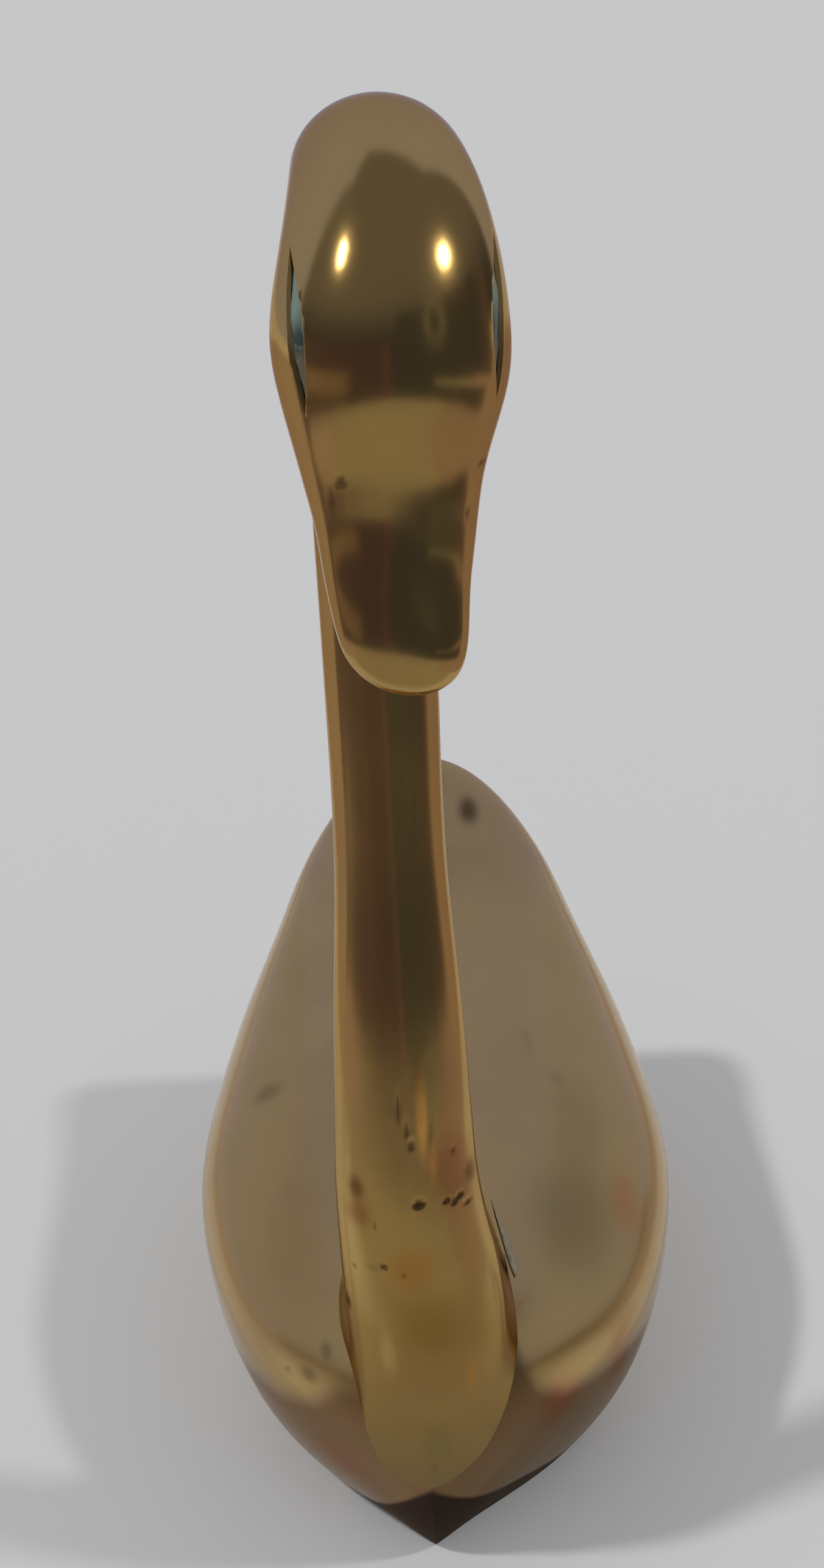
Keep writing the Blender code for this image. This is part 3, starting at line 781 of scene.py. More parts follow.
def fillet_rows(tree, start, down, entry, edge, swell, pillow):
    """Rows from the neck's side over the fillet or leaf to its edge, each clear of the body."""
    rows = []
    reach = np.linalg.norm(edge - start, axis=1)[:, None]
    hollow = entry - edge
    hollow /= np.maximum(np.linalg.norm(hollow, axis=1)[:, None], 1e-6)
    inward = hollow * (1 - swell)[:, None] + (start - edge) / reach * swell[:, None]
    first = start + down * reach * FILLET_BOW
    second = edge + inward * reach * FILLET_BOW
    for t in np.linspace(0, 1, FILLET_ROWS + 1)[1:]:
        near_part = start * (1 - t) ** 3 + 3 * first * t * (1 - t) ** 2
        row = near_part + 3 * second * t**2 * (1 - t) + edge * t**3
        if t < 1:
            least = FILLET_CLEAR + pillow * math.sin(math.pi * t) * min(1.0, PILLOW_END * (1 - t))
            row = np.array([lift(tree, point, height) for point, height in zip(row, least)])
        rows.append(row)
    return rows


def neck_grid(sizes):
    """Rows from the bill down to the toe, with the soldered foot spread over the body."""
    track = neck_track()
    tree = body_tree()
    angle = neck_angles()
    degrees = np.degrees(angle) % 360
    entry = entry_places(track, tree, angle)
    rear = np.clip(-np.sin(angle), 0, 1) ** REAR_SHARPNESS
    rise = sizes.foot_rise_side + (sizes.foot_rise_rear - sizes.foot_rise_side) * rear
    leave = smooth_ring(entry + rise / MM)
    shared = leave.max() + EVEN_ABOVE
    rows = []
    for place in np.linspace(track.length(), shared, NECK_ROWS + 1)[1:]:
        rows.append(neck_points(track, place + 0 * angle, angle))
    for t in np.linspace(0, 1, NECK_LOW_ROWS + 1)[1:]:
        rows.append(neck_points(track, shared + (leave - shared) * t, angle))
    start = rows[-1]
    down = neck_points(track, leave - PROBE, angle) - start
    down /= np.linalg.norm(down, axis=1)[:, None]
    open_low, open_high, shut_low, shut_high = CRACK_SPAN
    signed = np.where(degrees > 180, degrees - 360, degrees)
    cracked = ease(signed, open_low, open_high) * (1 - ease(signed, shut_low, shut_high))
    lifted = EDGE_CLEAR + cracked * sizes.crack_lift / MM
    edge = foot_edge(tree, angle, lifted)
    inside = neck_points(track, entry, angle)
    swell = ease(np.sin(angle), *SWELL_SPAN)
    pillow = sizes.leaf_pillow / MM * ease(np.sin(angle), *PILLOW_SPAN)
    rows += fillet_rows(tree, start, down, inside, edge, swell, pillow)
    under = np.array([lift(tree, point, INSIDE_CLEAR) for point in inside])
    for t in np.linspace(0, 1, UNDERSIDE_ROWS + 2)[1:]:
        rows.append(onto_body(tree, edge + (under - edge) * t, np.full(NECK_AROUND, UNDERSIDE_CLEAR)))
    for t in np.linspace(0, 1, FOOT_ROWS + 1):
        sunk = (entry - ENTRY_SINK) + (TOE_PLACE - entry + ENTRY_SINK) * t
        rows.append(neck_points(track, sunk, angle))
    tip = neck_points(track, np.array(track.length()), np.array(0.0))
    toe = neck_points(track, np.array(0.0), np.array(0.0))
    return np.array(rows), tip, toe


def neck_wash(place, _):
    """Darkening that deepens down the leaf of the foot."""
    front = 1 - ease(place[:, 1], *LEAF_REAR)[:, None]
    height = place[:, 2]
    shades = [np.interp(height, LEAF_HEIGHTS, column) for column in np.transpose(LEAF_SHADES)]
    return 1 + front * (np.stack(shades, -1) - 1)


def eye_frame(side):
    """Matrix that takes an eye piece from its own axes, in millimetres, to its place on the head."""
    track = neck_track()
    fields = track.at(np.linspace(0, track.length(), HEAD_SAMPLES))
    crown = int(fields[:, 1].argmax())
    head = fields[: crown - 1 : -1]
    ends = (EYE_HEIGHT - EYE_LENGTH / 2, EYE_HEIGHT, EYE_HEIGHT + EYE_LENGTH / 2)
    below, middle, above = np.interp(ends, head[:, 1], head[:, 0])
    half_width = float(np.interp(EYE_HEIGHT, head[:, 1], head[:, 2]))
    long_axis = Vector((0, above - below, EYE_LENGTH)).normalized()
    toe = math.radians(EYE_TOE_IN)
    outward = Vector((side * math.cos(toe), -math.sin(toe), 0))
    outward = (outward - long_axis * outward.dot(long_axis)).normalized()
    axes = Matrix((outward, long_axis, outward.cross(long_axis))).transposed().to_4x4()
    spot = Vector((side * half_width, middle - EYE_FORWARD, EYE_HEIGHT))
    turn = Matrix.Rotation(math.radians(HEAD_TURN), 4, "Z")
    pivot = Matrix.Translation(Vector((0, neck_axis(), 0)))
    lean = Matrix.Translation(Vector((NECK_LEAN, 0, 0)))
    return lean @ pivot @ turn @ pivot.inverted() @ Matrix.Translation(spot) @ axes


def eye_outline(inset):
    """Outline of an eye as heights and distances forward, drawn in by the inset."""
    half = EYE_LENGTH / 2 - EYE_POINT_INSET * inset
    points = []
    for bow, way in ((EYE_FRONT_BOW - inset, 1), (EYE_REAR_BOW + inset, -1)):
        for i in range(EYE_ARC_POINTS):
            along = half * way * math.cos(math.pi * i / EYE_ARC_POINTS)
            points.append((along, EYE_CHORD + bow * (1 - (along / half) ** 2)))
    return np.array(points)


def head_tree():
    """Search tree of the head's outside, in millimetres."""
    track = neck_track()
    places = np.linspace(*HEAD_SPAN, HEAD_ROWS) * track.length()
    grid = neck_rings(track, places, ring_angles(NECK_AROUND))
    return BVHTree.FromPolygons([Vector(p) for p in grid.reshape(-1, 3)], ring_faces(*grid.shape[:2]))


def eye_loft(name, side, rings, pole=None):
    """Eye piece through rings, each an outline and its height above the head's own surface."""
    place = eye_frame(side)
    tree = head_tree()
    outward = (place.to_3x3() @ Vector((1, 0, 0))).normalized()
    rows = []
    for outline, height in rings + ([pole] if pole else []):
        row = []
        for along, forward in outline:
            hit = tree.ray_cast(place @ Vector((OUTSIDE_HEAD, along, side * forward)), -outward)[0]
            row.append(tuple(hit + outward * height))
        rows.append(row)
    end = rows.pop()[0] if pole else None
    return grid_mesh(name, np.array(rows), None, end)


def on_lids(middle):
    """Whether the middle of an edge lies by the eye pockets."""
    return middle.z > LIDS_BOTTOM and middle.y < LIDS_BACK


def build_neck(sizes, colours):
    """Neck and head casting with its soldered foot, its spigot and the pockets of the eyes."""
    mesh = grid_mesh("neck", *neck_grid(sizes))
    end = cavity_front() + CLEARANCE + SOLDER_THICKNESS + SPIGOT_END
    tools = [(bar_along_y("spigot", SPIGOT_RADIUS, foot_rear() / 2, end, SPIGOT_HEIGHT), "UNION")]
    for side in (1, -1):
        rings = [(eye_outline(0.0), -POCKET_DEPTH), (eye_outline(0.0), POCKET_REACH)]
        tools.append((eye_loft("pocket", side, rings), "DIFFERENCE"))
    mesh = carve(mesh, tools, on_lids, sizes.lid_round)
    stains_dents_and_painted_light(mesh, NECK_MARKS, neck_wash)
    material = metal_material("neck_brass", colours.neck, colours.tarnish, NECK_FINISH)
    add_piece("neck_casting", mesh, material, "neck_and_head")


# Eyes


def build_eyes(colours):
    """Compound in both eye pockets and the domed shell that it holds."""
    setting = setting_material(colours.setting)
    shell = shell_material(colours.shell_highlight, colours.shell_dark)
    low = -POCKET_DEPTH + BED_CLEAR
    floor = low + SETTING_FLOOR
    outer, inner = eye_outline(EYE_GAP), eye_outline(EYE_GAP + SETTING_WALL)
    edge = eye_outline(2 * EYE_GAP + SETTING_WALL)
    middle = edge.mean(axis=0)
    for side, label in ((1, "left"), (-1, "right")):
        cup = [(outer, low), (outer, -SETTING_LIP), (inner, -SETTING_LIP - SETTING_BEVEL), (inner, floor)]
        mesh = eye_loft("setting", side, cup)
        add_piece(f"setting_{label}", mesh, setting, f"eye_setting_{label}")
        rings = [(edge, floor + INLAY_CLEAR), (edge, -INLAY_RIM - INLAY_SIDE)]
        for scale in np.cos(np.linspace(*DOME_SPAN, DOME_ROWS) * math.pi / 2):
            rings.append((middle + (edge - middle) * scale, INLAY_DOME * (1 - scale**2) - INLAY_RIM))
        mesh = eye_loft("inlay", side, rings, ([middle], INLAY_DOME - INLAY_RIM))
        band_attribute(mesh, eye_frame(side))
        add_piece(f"inlay_{label}", mesh, shell, f"eye_inlay_{label}")


def band_attribute(mesh, place):
    """Height along the eye, from 0 at its low point to 1 at its high one, for the bands of the shell."""
    back = place.inverted()
    values = []
    for vertex in mesh.vertices:
        values.append((back @ ((vertex.co - BASE) / MM)).y / EYE_LENGTH + 0.5)
    layer = mesh.attributes.new("band", "FLOAT", "POINT")
    layer.data.foreach_set("value", values)


# Solder


def solder_profile(inner):
    """Radius and height of each point round the cross-section of the ring of solder."""
    profile = [(inner + SOLDER_WIDTH * SOLDER_HEM, 0.0)]
    for angle in np.linspace(0, math.pi / 2, SOLDER_ARC_POINTS):
        radius = inner + SOLDER_WIDTH * (1 - SOLDER_SWEEP * math.sin(angle))
        profile.append((radius, SOLDER_LIP + (SOLDER_THICKNESS - SOLDER_FLAT) * (1 - math.cos(angle))))
    return profile + [(inner, SOLDER_THICKNESS), (inner, 0.0)]


def solder_fillet():
    """Ring of solder round the spigot, against the inside of the breast."""
    start = cavity_front() + CLEARANCE
    inner = SPIGOT_RADIUS + CLEARANCE
    around = ring_angles(SOLDER_AROUND)
    rows = []
    for radius, level in solder_profile(inner):
        wave = 1 + SOLDER_WAVE * np.sin(3 * around) * (radius - inner)
        grow = radius * np.where(radius > inner, wave, 1.0)
        row = (np.cos(around) * grow, 0 * around + start + level, np.sin(around) * grow + SPIGOT_HEIGHT)
        rows.append(np.stack(row, -1))
    mesh = bpy.data.meshes.new("solder")
    faces = ring_faces(len(rows), SOLDER_AROUND, closed=True)
    mesh.from_pydata(to_model(np.array(rows).reshape(-1, 3)), [], faces)
    face_out(mesh)
    return mesh


def solder_streak():
    """Drop of solder squeezed out of the joint at the end of the crack on the swan's left."""
    tree = body_tree()
    angle = np.radians(np.linspace(*STREAK_SPAN, STREAK_ROWS))
    path = foot_edge(tree, angle, 0 * angle)
    last = STREAK_ROWS - 1
    rows = []
    for number, point in enumerate(path):
        near, outward, _ = above_body(tree, point)
        ahead = path[min(number + 1, last)] - path[max(number - 1, 0)]
        ahead /= np.linalg.norm(ahead)
        aside = np.cross(ahead, outward)
        if aside[0] < 0:
            aside = -aside
        t = number / last
        half = STREAK_LEAST + STREAK_SWELL * math.sin(math.pi * t**STREAK_RAMP) ** STREAK_FULLNESS
        row = []
        for share in np.linspace(0, 2 * math.pi, STREAK_AROUND + 1)[:-1]:
            off = near + aside * (half * math.cos(share) + half * STREAK_HANG + STREAK_SLIDE * t)
            base, up, _ = above_body(tree, off)
            swell = STREAK_CREST if math.sin(share) > 0 else STREAK_HEM
            row.append(base + up * (STREAK_CLEAR + swell * math.sin(share)))
        rows.append(row)
    return grid_mesh("streak", np.array(rows))


def build_solder(colours):
    """Ring of solder inside the breast and the streak that shows outside."""
    material = metal_material("solder", colours.solder, OXIDE, SOLDER_FINISH)
    pieces = (("solder_fillet", solder_fillet(), "solder_ring"), ("solder_streak", solder_streak(), None))
    for name, mesh, node in pieces:
        stains_dents_and_painted_light(mesh, [])
        add_piece(name, mesh, material, node)


# Materials


class Finish(NamedTuple):
    """How a metal has been left: its haze, clouds of tarnish and relief, and its lacquer if it has any."""

    roughness: float
    haze: float
    cloud_scale: float
    cloud_amount: float
    relief: float
    lacquer: float = 0.0
    sheen: tuple = (1.0, 1.0, 1.0)


BODY_FINISH = Finish(0.3, 0.05, 70.0, 0.45, 0.00002, 0.9, (0.9, 0.8, 0.66))
NECK_FINISH = Finish(0.13, 0.04, 90.0, 0.3, 0.00002, 0.33, (0.75, 0.58, 0.42))
SOLDER_FINISH = Finish(0.4, 0.15, 700.0, 0.6, 0.00005)
LACQUER_ROUGHNESS = 0.12
OXIDE = (0.2, 0.2, 0.2)

# Surface that the metals share: where in the noise clouds of tarnish begin and are full, fineness
# and strength of the grain, and the brightness of a stain at which metal dulls and lacquer is left
CLOUD_EDGE, GRAIN_SCALE, GRAIN_STRENGTH = (0.42, 0.72), 2600.0, 0.03
DULL_STAIN, DULL_ROUGHNESS, LACQUER_STAIN = (0.8, 0.1), 0.25, (0.1, 0.7)

# Specks in the compound and the shell, the shell's polish, and where along the eye its painted highlight band
# rises and falls and its low tip turns brown
SETTING_SPECKS = {"Speck": (0.09, 0.08, 0.065), "Scale": 1800.0, "Amount": 0.7}
SHELL_SPECKS = {"Speck": (0.34, 0.42, 0.36), "Scale": 1500.0, "Amount": 0.35}
SHELL_POLISH = {"Coat Weight": 0.6, "Coat Roughness": 0.08}
SHELL_RISE, SHELL_FALL, SHELL_TIP = (0.42, 0.6), (0.98, 0.78), (0.42, 0.28)
SHELL_TIP_COLOUR = (0.19, 0.16, 0.115)


class Sheet:
    """Node tree being laid out, with short ways to add and join nodes."""

    def __init__(self, tree):
        self.nodes = tree.nodes
        self.links = tree.links

    def add(self, kind, **settings):
        """New node with its settings."""
        node = self.nodes.new(kind)
        for key, value in settings.items():
            setattr(node, key, value)
        return node

    def join(self, source, target):
        """Puts a number, a colour or another node's output into an input."""
        if isinstance(source, (int, float)):
            target.default_value = source
        elif isinstance(source, tuple):
            target.default_value = (*source, 1.0)
        else:
            self.links.new(source, target)

    def feed(self, node, values):
        """Puts a value into each of a node's inputs that are named."""
        for name, value in values.items():
            self.join(value, node.inputs[name])

    def math(self, operation, first, second):
        """Result of a sum or product."""
        node = self.add("ShaderNodeMath", operation=operation)
        self.join(first, node.inputs[0])
        self.join(second, node.inputs[1])
        return node.outputs[0]

    def mix(self, factor, first, second, blend="MIX"):
        """Second colour laid over the first by the factor."""
        node = self.add("ShaderNodeMix", data_type="RGBA", blend_type=blend)
        self.feed(node, {"Factor": factor, "A": first, "B": second})
        return node.outputs["Result"]

    def span(self, value, low, high, start=0.0, end=1.0, smooth=True):
        """Value between low and high brought to between start and end."""
        node = self.add("ShaderNodeMapRange")
        if smooth:
            node.interpolation_type = "SMOOTHSTEP"
        self.feed(node, {"Value": value, "From Min": low, "From Max": high, "To Min": start, "To Max": end})
        return node.outputs["Result"]

    def noise(self, place, scale, detail=3.0):
        """Noise at the place."""
        node = self.add("ShaderNodeTexNoise")
        self.feed(node, {"Detail": detail, "Scale": scale, "Vector": place})
        return node.outputs["Fac"]


def shared_group(name, inputs, outputs):
    """Node group by name, or a new one with its sockets, and whether it is still to be filled."""
    if name in bpy.data.node_groups:
        return bpy.data.node_groups[name], False
    tree = bpy.data.node_groups.new(name, "ShaderNodeTree")
    for way, sockets in (("INPUT", inputs), ("OUTPUT", outputs)):
        for label, kind in sockets:
            tree.interface.new_socket(label, in_out=way, socket_type=kind)
    return tree, True


def metal_surface_group():
    """Tarnish clouds, stains and painted light, polishing haze and grain that every metal of the swan shares.
    """
    number, colour = "NodeSocketFloat", "NodeSocketColor"
    inputs = [("Metal", colour), ("Tarnish", colour), ("Amount", number), ("Cloud Scale", number)]
    inputs += [("Roughness", number), ("Haze", number)]
    outputs = [("Color", colour), ("Roughness", number), ("Lacquer", number), ("Height", number)]
    tree, empty = shared_group("metal_surface", inputs, outputs)
    if not empty:
        return tree
    sheet = Sheet(tree)
    given = sheet.add("NodeGroupInput").outputs
    place = sheet.add("ShaderNodeTexCoord").outputs["Object"]
    cloud = sheet.noise(place, given["Cloud Scale"], 4.0)
    patch = sheet.span(cloud, *CLOUD_EDGE)
    tarnish = sheet.mix(sheet.math("MULTIPLY", patch, given["Amount"]), given["Metal"], given["Tarnish"])
    stain = sheet.add("ShaderNodeAttribute", attribute_name="stain")
    colour_out = sheet.mix(1.0, tarnish, stain.outputs["Color"], "MULTIPLY")
    grain = sheet.noise(place, GRAIN_SCALE, 2.0)
    dull = sheet.span(stain.outputs["Fac"], *DULL_STAIN, 0.0, DULL_ROUGHNESS, smooth=False)
    rough = sheet.math("ADD", given["Roughness"], sheet.math("MULTIPLY", patch, given["Haze"]))
    rough = sheet.math("ADD", rough, sheet.math("MULTIPLY", grain, GRAIN_STRENGTH))
    rough = sheet.math("ADD", rough, dull)
    height = sheet.math("ADD", cloud, sheet.math("MULTIPLY", grain, GRAIN_STRENGTH))
    lacquer = sheet.span(stain.outputs["Fac"], *LACQUER_STAIN)
    result = {"Color": colour_out, "Roughness": rough, "Lacquer": lacquer, "Height": height}
    sheet.feed(sheet.add("NodeGroupOutput"), result)
    return tree


def speckle_group():
    """Fine speckle that lightens and roughens the compound and the shell."""
    number, colour = "NodeSocketFloat", "NodeSocketColor"
    inputs = [("Base", colour), ("Speck", colour), ("Scale", number), ("Amount", number)]
    outputs = [("Color", colour), ("Roughness", number), ("Height", number)]
    tree, empty = shared_group("fine_speckle", inputs, outputs)
    if not empty:
        return tree
    sheet = Sheet(tree)
    given = sheet.add("NodeGroupInput").outputs
    place = sheet.add("ShaderNodeTexCoord").outputs["Object"]
    grain = sheet.noise(place, given["Scale"], 3.0)
    speck = sheet.span(grain, 0.52, 0.7)
    colour_out = sheet.mix(sheet.math("MULTIPLY", speck, given["Amount"]), given["Base"], given["Speck"])
    rough = sheet.math("ADD", sheet.math("MULTIPLY", grain, 0.2), 0.2)
    sheet.feed(sheet.add("NodeGroupOutput"), {"Color": colour_out, "Roughness": rough, "Height": grain})
    return tree


def new_material(name):
    """Material with its sheet of nodes and its shader."""
    material = bpy.data.materials.new(name)
    material.use_nodes = True
    sheet = Sheet(material.node_tree)
    return material, sheet, sheet.nodes["Principled BSDF"]


def place_group(sheet, tree, values):
    """Outputs of a shared group placed in a material with its own values."""
    node = sheet.add("ShaderNodeGroup", node_tree=tree)
    sheet.feed(node, values)
    return node.outputs


def relief(sheet, height, shader, depth):
    """Bump of a group's height, its full range the given depth in metres."""
    bump = sheet.add("ShaderNodeBump")
    sheet.feed(bump, {"Distance": depth, "Height": height})
    sheet.join(bump.outputs["Normal"], shader.inputs["Normal"])


def metal_material(name, colour, tarnish, finish):
    """Metal with its tarnish, under what is left of its clear lacquer."""
    material, sheet, shader = new_material(name)
    values = {
        "Metal": tuple(colour),
        "Tarnish": tuple(tarnish),
        "Amount": finish.cloud_amount,
        "Cloud Scale": finish.cloud_scale,
        "Roughness": finish.roughness,
        "Haze": finish.haze,
    }
    out = place_group(sheet, metal_surface_group(), values)
    sheet.feed(shader, {"Base Color": out["Color"], "Roughness": out["Roughness"], "Metallic": 1.0})
    relief(sheet, out["Height"], shader, finish.relief)
    if finish.lacquer:
        coat = sheet.math("MULTIPLY", out["Lacquer"], finish.lacquer)
        coated = {"Coat Weight": coat, "Coat Roughness": LACQUER_ROUGHNESS, "Specular Tint": finish.sheen}
        sheet.feed(shader, coated)
    return material


def setting_material(colour):
    """Dark compound that the eyes are bedded in."""
    material, sheet, shader = new_material("setting_compound")
    out = place_group(sheet, speckle_group(), {"Base": tuple(colour), **SETTING_SPECKS})
    rough = sheet.math("ADD", out["Roughness"], 0.25)
    sheet.feed(shader, {"Base Color": out["Color"], "Roughness": rough})
    relief(sheet, out["Height"], shader, 0.00006)
    return material


def shell_material(light, dark):
    """Polished blue-green shell with a painted highlight across its middle, darker in bands towards both
    points.
    """
    material, sheet, shader = new_material("eye_shell")
    band = sheet.add("ShaderNodeAttribute", attribute_name="band").outputs["Fac"]
    place = sheet.add("ShaderNodeTexCoord").outputs["Object"]
    wave = sheet.math("MULTIPLY", sheet.math("SUBTRACT", sheet.noise(place, 420.0, 4.0), 0.5), 0.22)
    spot = sheet.math("ADD", band, wave)
    rise = sheet.span(spot, *SHELL_RISE)
    fall = sheet.span(spot, *SHELL_FALL)
    # Painted highlight over the shell's own blue-green: the light colour, strongest across the middle of the
    # eye
    tone = sheet.mix(sheet.math("MULTIPLY", rise, fall), tuple(dark), tuple(light))
    tone = sheet.mix(sheet.span(spot, *SHELL_TIP), tone, SHELL_TIP_COLOUR)
    out = place_group(sheet, speckle_group(), {"Base": tone, **SHELL_SPECKS})
    rough = sheet.math("SUBTRACT", out["Roughness"], 0.08)
    sheet.feed(shader, {"Base Color": out["Color"], "Roughness": rough, **SHELL_POLISH})
    relief(sheet, out["Height"], shader, 0.00002)
    return material


# Stage


class BorderPoint(NamedTuple):
    """Edge of the table as the metal mirrors it: bearing, distance and height in metres, and colour."""

    azimuth: float
    distance: float
    height: float
    colour: tuple


TABLE_BORDER = [
    BorderPoint(-88.0, 0.2, 0.14, (0.16, 0.13, 0.14)),
    BorderPoint(-74.0, 0.235, 0.14, (0.1, 0.08, 0.105)),
    BorderPoint(-55.0, 0.245, 0.14, (0.09, 0.068, 0.095)),
    BorderPoint(-35.0, 0.26, 0.14, (0.085, 0.06, 0.085)),
    BorderPoint(-15.0, 0.27, 0.14, (0.075, 0.056, 0.08)),
    BorderPoint(1.0, 0.28, 0.14, (0.075, 0.056, 0.08)),
    BorderPoint(2.5, 0.28, 0.14, (0.12, 0.07, 0.085)),
    BorderPoint(5.0, 0.28, 0.14, (0.12, 0.07, 0.085)),
    BorderPoint(7.0, 0.28, 0.14, (0.055, 0.058, 0.082)),
    BorderPoint(20.0, 0.27, 0.12, (0.055, 0.06, 0.078)),
    BorderPoint(38.0, 0.255, 0.035, (0.055, 0.06, 0.078)),
    BorderPoint(60.0, 0.225, 0.035, (0.058, 0.062, 0.075)),
    BorderPoint(80.0, 0.2, 0.035, (0.07, 0.062, 0.075)),
    BorderPoint(92.0, 0.2, 0.035, (0.2, 0.15, 0.15)),
]

FAR_BORDER = [
    BorderPoint(12.0, 0.4, 0.24, (0.055, 0.06, 0.078)),
    BorderPoint(40.0, 0.43, 0.24, (0.055, 0.06, 0.078)),
    BorderPoint(80.0, 0.4, 0.24, (0.06, 0.06, 0.075)),
    BorderPoint(98.0, 0.36, 0.2, (0.12, 0.1, 0.11)),
]

# Surroundings that only the metal mirrors, in millimetres from the bow: the point that all of them
# face, outline of the wall beside the body and its distance, corners of the sheet and its height
SWAN_MIDDLE = Vector((0, 20, 20))
SIDE_OUTLINE = [(-26, 56), (8, 56), (16, 28), (80, 28), (80, 125), (34, 125), (4, 92), (-26, 74)]
SIDE_DISTANCE = 60
SHEET_CORNERS = [(16, 80), (230, 80), (230, -170), (16, -170)]
SHEET_HEIGHT = 34

# Glow beside the bill: bearings and heights with their share of its brightness, in degrees and metres
GLOW_ACROSS = ((-20.0, 0.0), (-32.0, 0.8), (-60.0, 1.0), (-80.0, 1.0))
GLOW_UPRIGHT = ((0.034, 0.0), (0.05, 1.0), (0.074, 1.0), (0.09, 0.0))
GLOW_DISTANCE = 0.2
GLOW_BRIGHT, GLOW_DIM = Vector((0.23, 0.18, 0.16)), Vector((0.07, 0.055, 0.07))

# Painted shade of a dimmer table on both sides, in metres: inner and outer edge and colour of each, and their
# ends
TABLE_SHADES = (("mat_left", 0.1, 0.8, (0.35, 0.28, 0.28)), ("mat_right", -0.12, -0.8, (0.4, 0.34, 0.34)))
TABLE_SHADE_FRONT, TABLE_SHADE_REAR, TABLE_SHADE_HEIGHT = -0.14, 0.5, 0.0006


class Glint(NamedTuple):
    """Small lamp that the neck casting mirrors: its bearing from the forehead, size and strength."""

    name: str
    azimuth: float
    elevation: float
    width: float
    height: float
    strength: float


GLINTS = [
    Glint("glint_left", -45.0, 43.0, 0.022, 0.06, 60.0),
    Glint("glint_right", 60.0, 32.0, 0.05, 0.04, 60.0),
    Glint("glint_low", 41.0, 10.0, 0.02, 0.065, 9.0),
]
FOREHEAD, GLINT_DISTANCE, GLINT_COLOUR = Vector((0, -0.036, 0.113)), 0.5, (1.0, 0.95, 0.85)

# Room that the metal mirrors ahead and overhead, light that falls on what is dull, and the backdrop
ROOM_AHEAD, ROOM_OVERHEAD = (0.052, 0.052, 0.072), (0.16, 0.16, 0.19)
DAYLIGHT, BACKDROP = (0.36, 0.365, 0.375), (0.546, 0.552, 0.565)

# How the pale sweep comes forward on the swan's left and right, how soft its edge is, and how high
# up the room turns from its colour ahead to the one overhead, all in parts of a bearing
SWEEP_LEFT, SWEEP_RIGHT = (0.5, 0.95, 0.0, 0.55), (-0.12, -0.36, 0.0, 0.2)
SWEEP_EDGE, ROOM_RISE = (-0.03, 0.09), (0.05, 0.5)

# Lamps' colour, spread in degrees, and the bearing of each
LAMP_COLOUR, LAMP_SPREAD = (1.0, 0.985, 0.96), 4.5
LAMP_LEFT_AT, LAMP_RIGHT_AT = (90.0, 47.0), (-87.0, 54.0)

# Floor's half width, and where it turns from the colour behind to the painted shade in front, in metres
FLOOR_HALF, FLOOR_FADE = 3, (0.002, 0.055)

# Camera: focal length and frame height in pixels, sensor and place in millimetres, turn in degrees
FOCAL_LENGTH, FRAME_HEIGHT, SENSOR = 3050, 2576, 36
CAMERA_ASIDE, CAMERA_AWAY, CAMERA_HEIGHT = 0.2, 118, 137.1
CAMERA_YAW, CAMERA_PITCH, CAMERA_ROLL = -0.9, 27, 2.9


def bearing(azimuth, elevation):
    """Unit vector, with azimuth from the front towards the swan's left."""
    a, e = math.radians(azimuth), math.radians(elevation)
    return Vector((math.sin(a) * math.cos(e), -math.cos(a) * math.cos(e), math.sin(e)))


def build_world(studio):
    """Pale sweep behind and at the sides, and a dim room in front and overhead, seen in the metal."""
    world = bpy.data.worlds.new("studio")
    world.use_nodes = True
    world.node_tree.nodes.clear()
    sheet = Sheet(world.node_tree)
    split = sheet.add("ShaderNodeSeparateXYZ")
    sheet.join(sheet.add("ShaderNodeTexCoord").outputs["Generated"], split.inputs[0])
    turn_left = sheet.span(split.outputs["X"], *SWEEP_LEFT, smooth=False)
    turn_right = sheet.span(split.outputs["X"], *SWEEP_RIGHT, smooth=False)
    tilt = sheet.math("ADD", sheet.math("SUBTRACT", split.outputs["Y"], turn_left), turn_right)
    dim = sheet.mix(sheet.span(split.outputs["Z"], *ROOM_RISE), ROOM_AHEAD, ROOM_OVERHEAD)
    mirrored = sheet.mix(sheet.span(tilt, *SWEEP_EDGE), dim, tuple(studio.sweep))
    path = sheet.add("ShaderNodeLightPath").outputs
    room = sheet.mix(path["Is Glossy Ray"], DAYLIGHT, mirrored)
    seen = sheet.mix(path["Is Camera Ray"], room, BACKDROP)
    background = sheet.add("ShaderNodeBackground")
    sheet.join(seen, background.inputs["Color"])
    sheet.join(background.outputs[0], sheet.add("ShaderNodeOutputWorld").inputs["Surface"])
    bpy.context.scene.world = world


def add_sun(name, azimuth, elevation, power):
    """Soft lamp that lights the floor and throws the swan's shadow."""
    data = bpy.data.lights.new(name, "SUN")
    data.angle = math.radians(LAMP_SPREAD)
    data.energy = power
    data.color = LAMP_COLOUR
    item = new_object(name, data)
    item.rotation_euler = bearing(azimuth, elevation).to_track_quat("Z", "Y").to_euler()
    item.visible_glossy = False


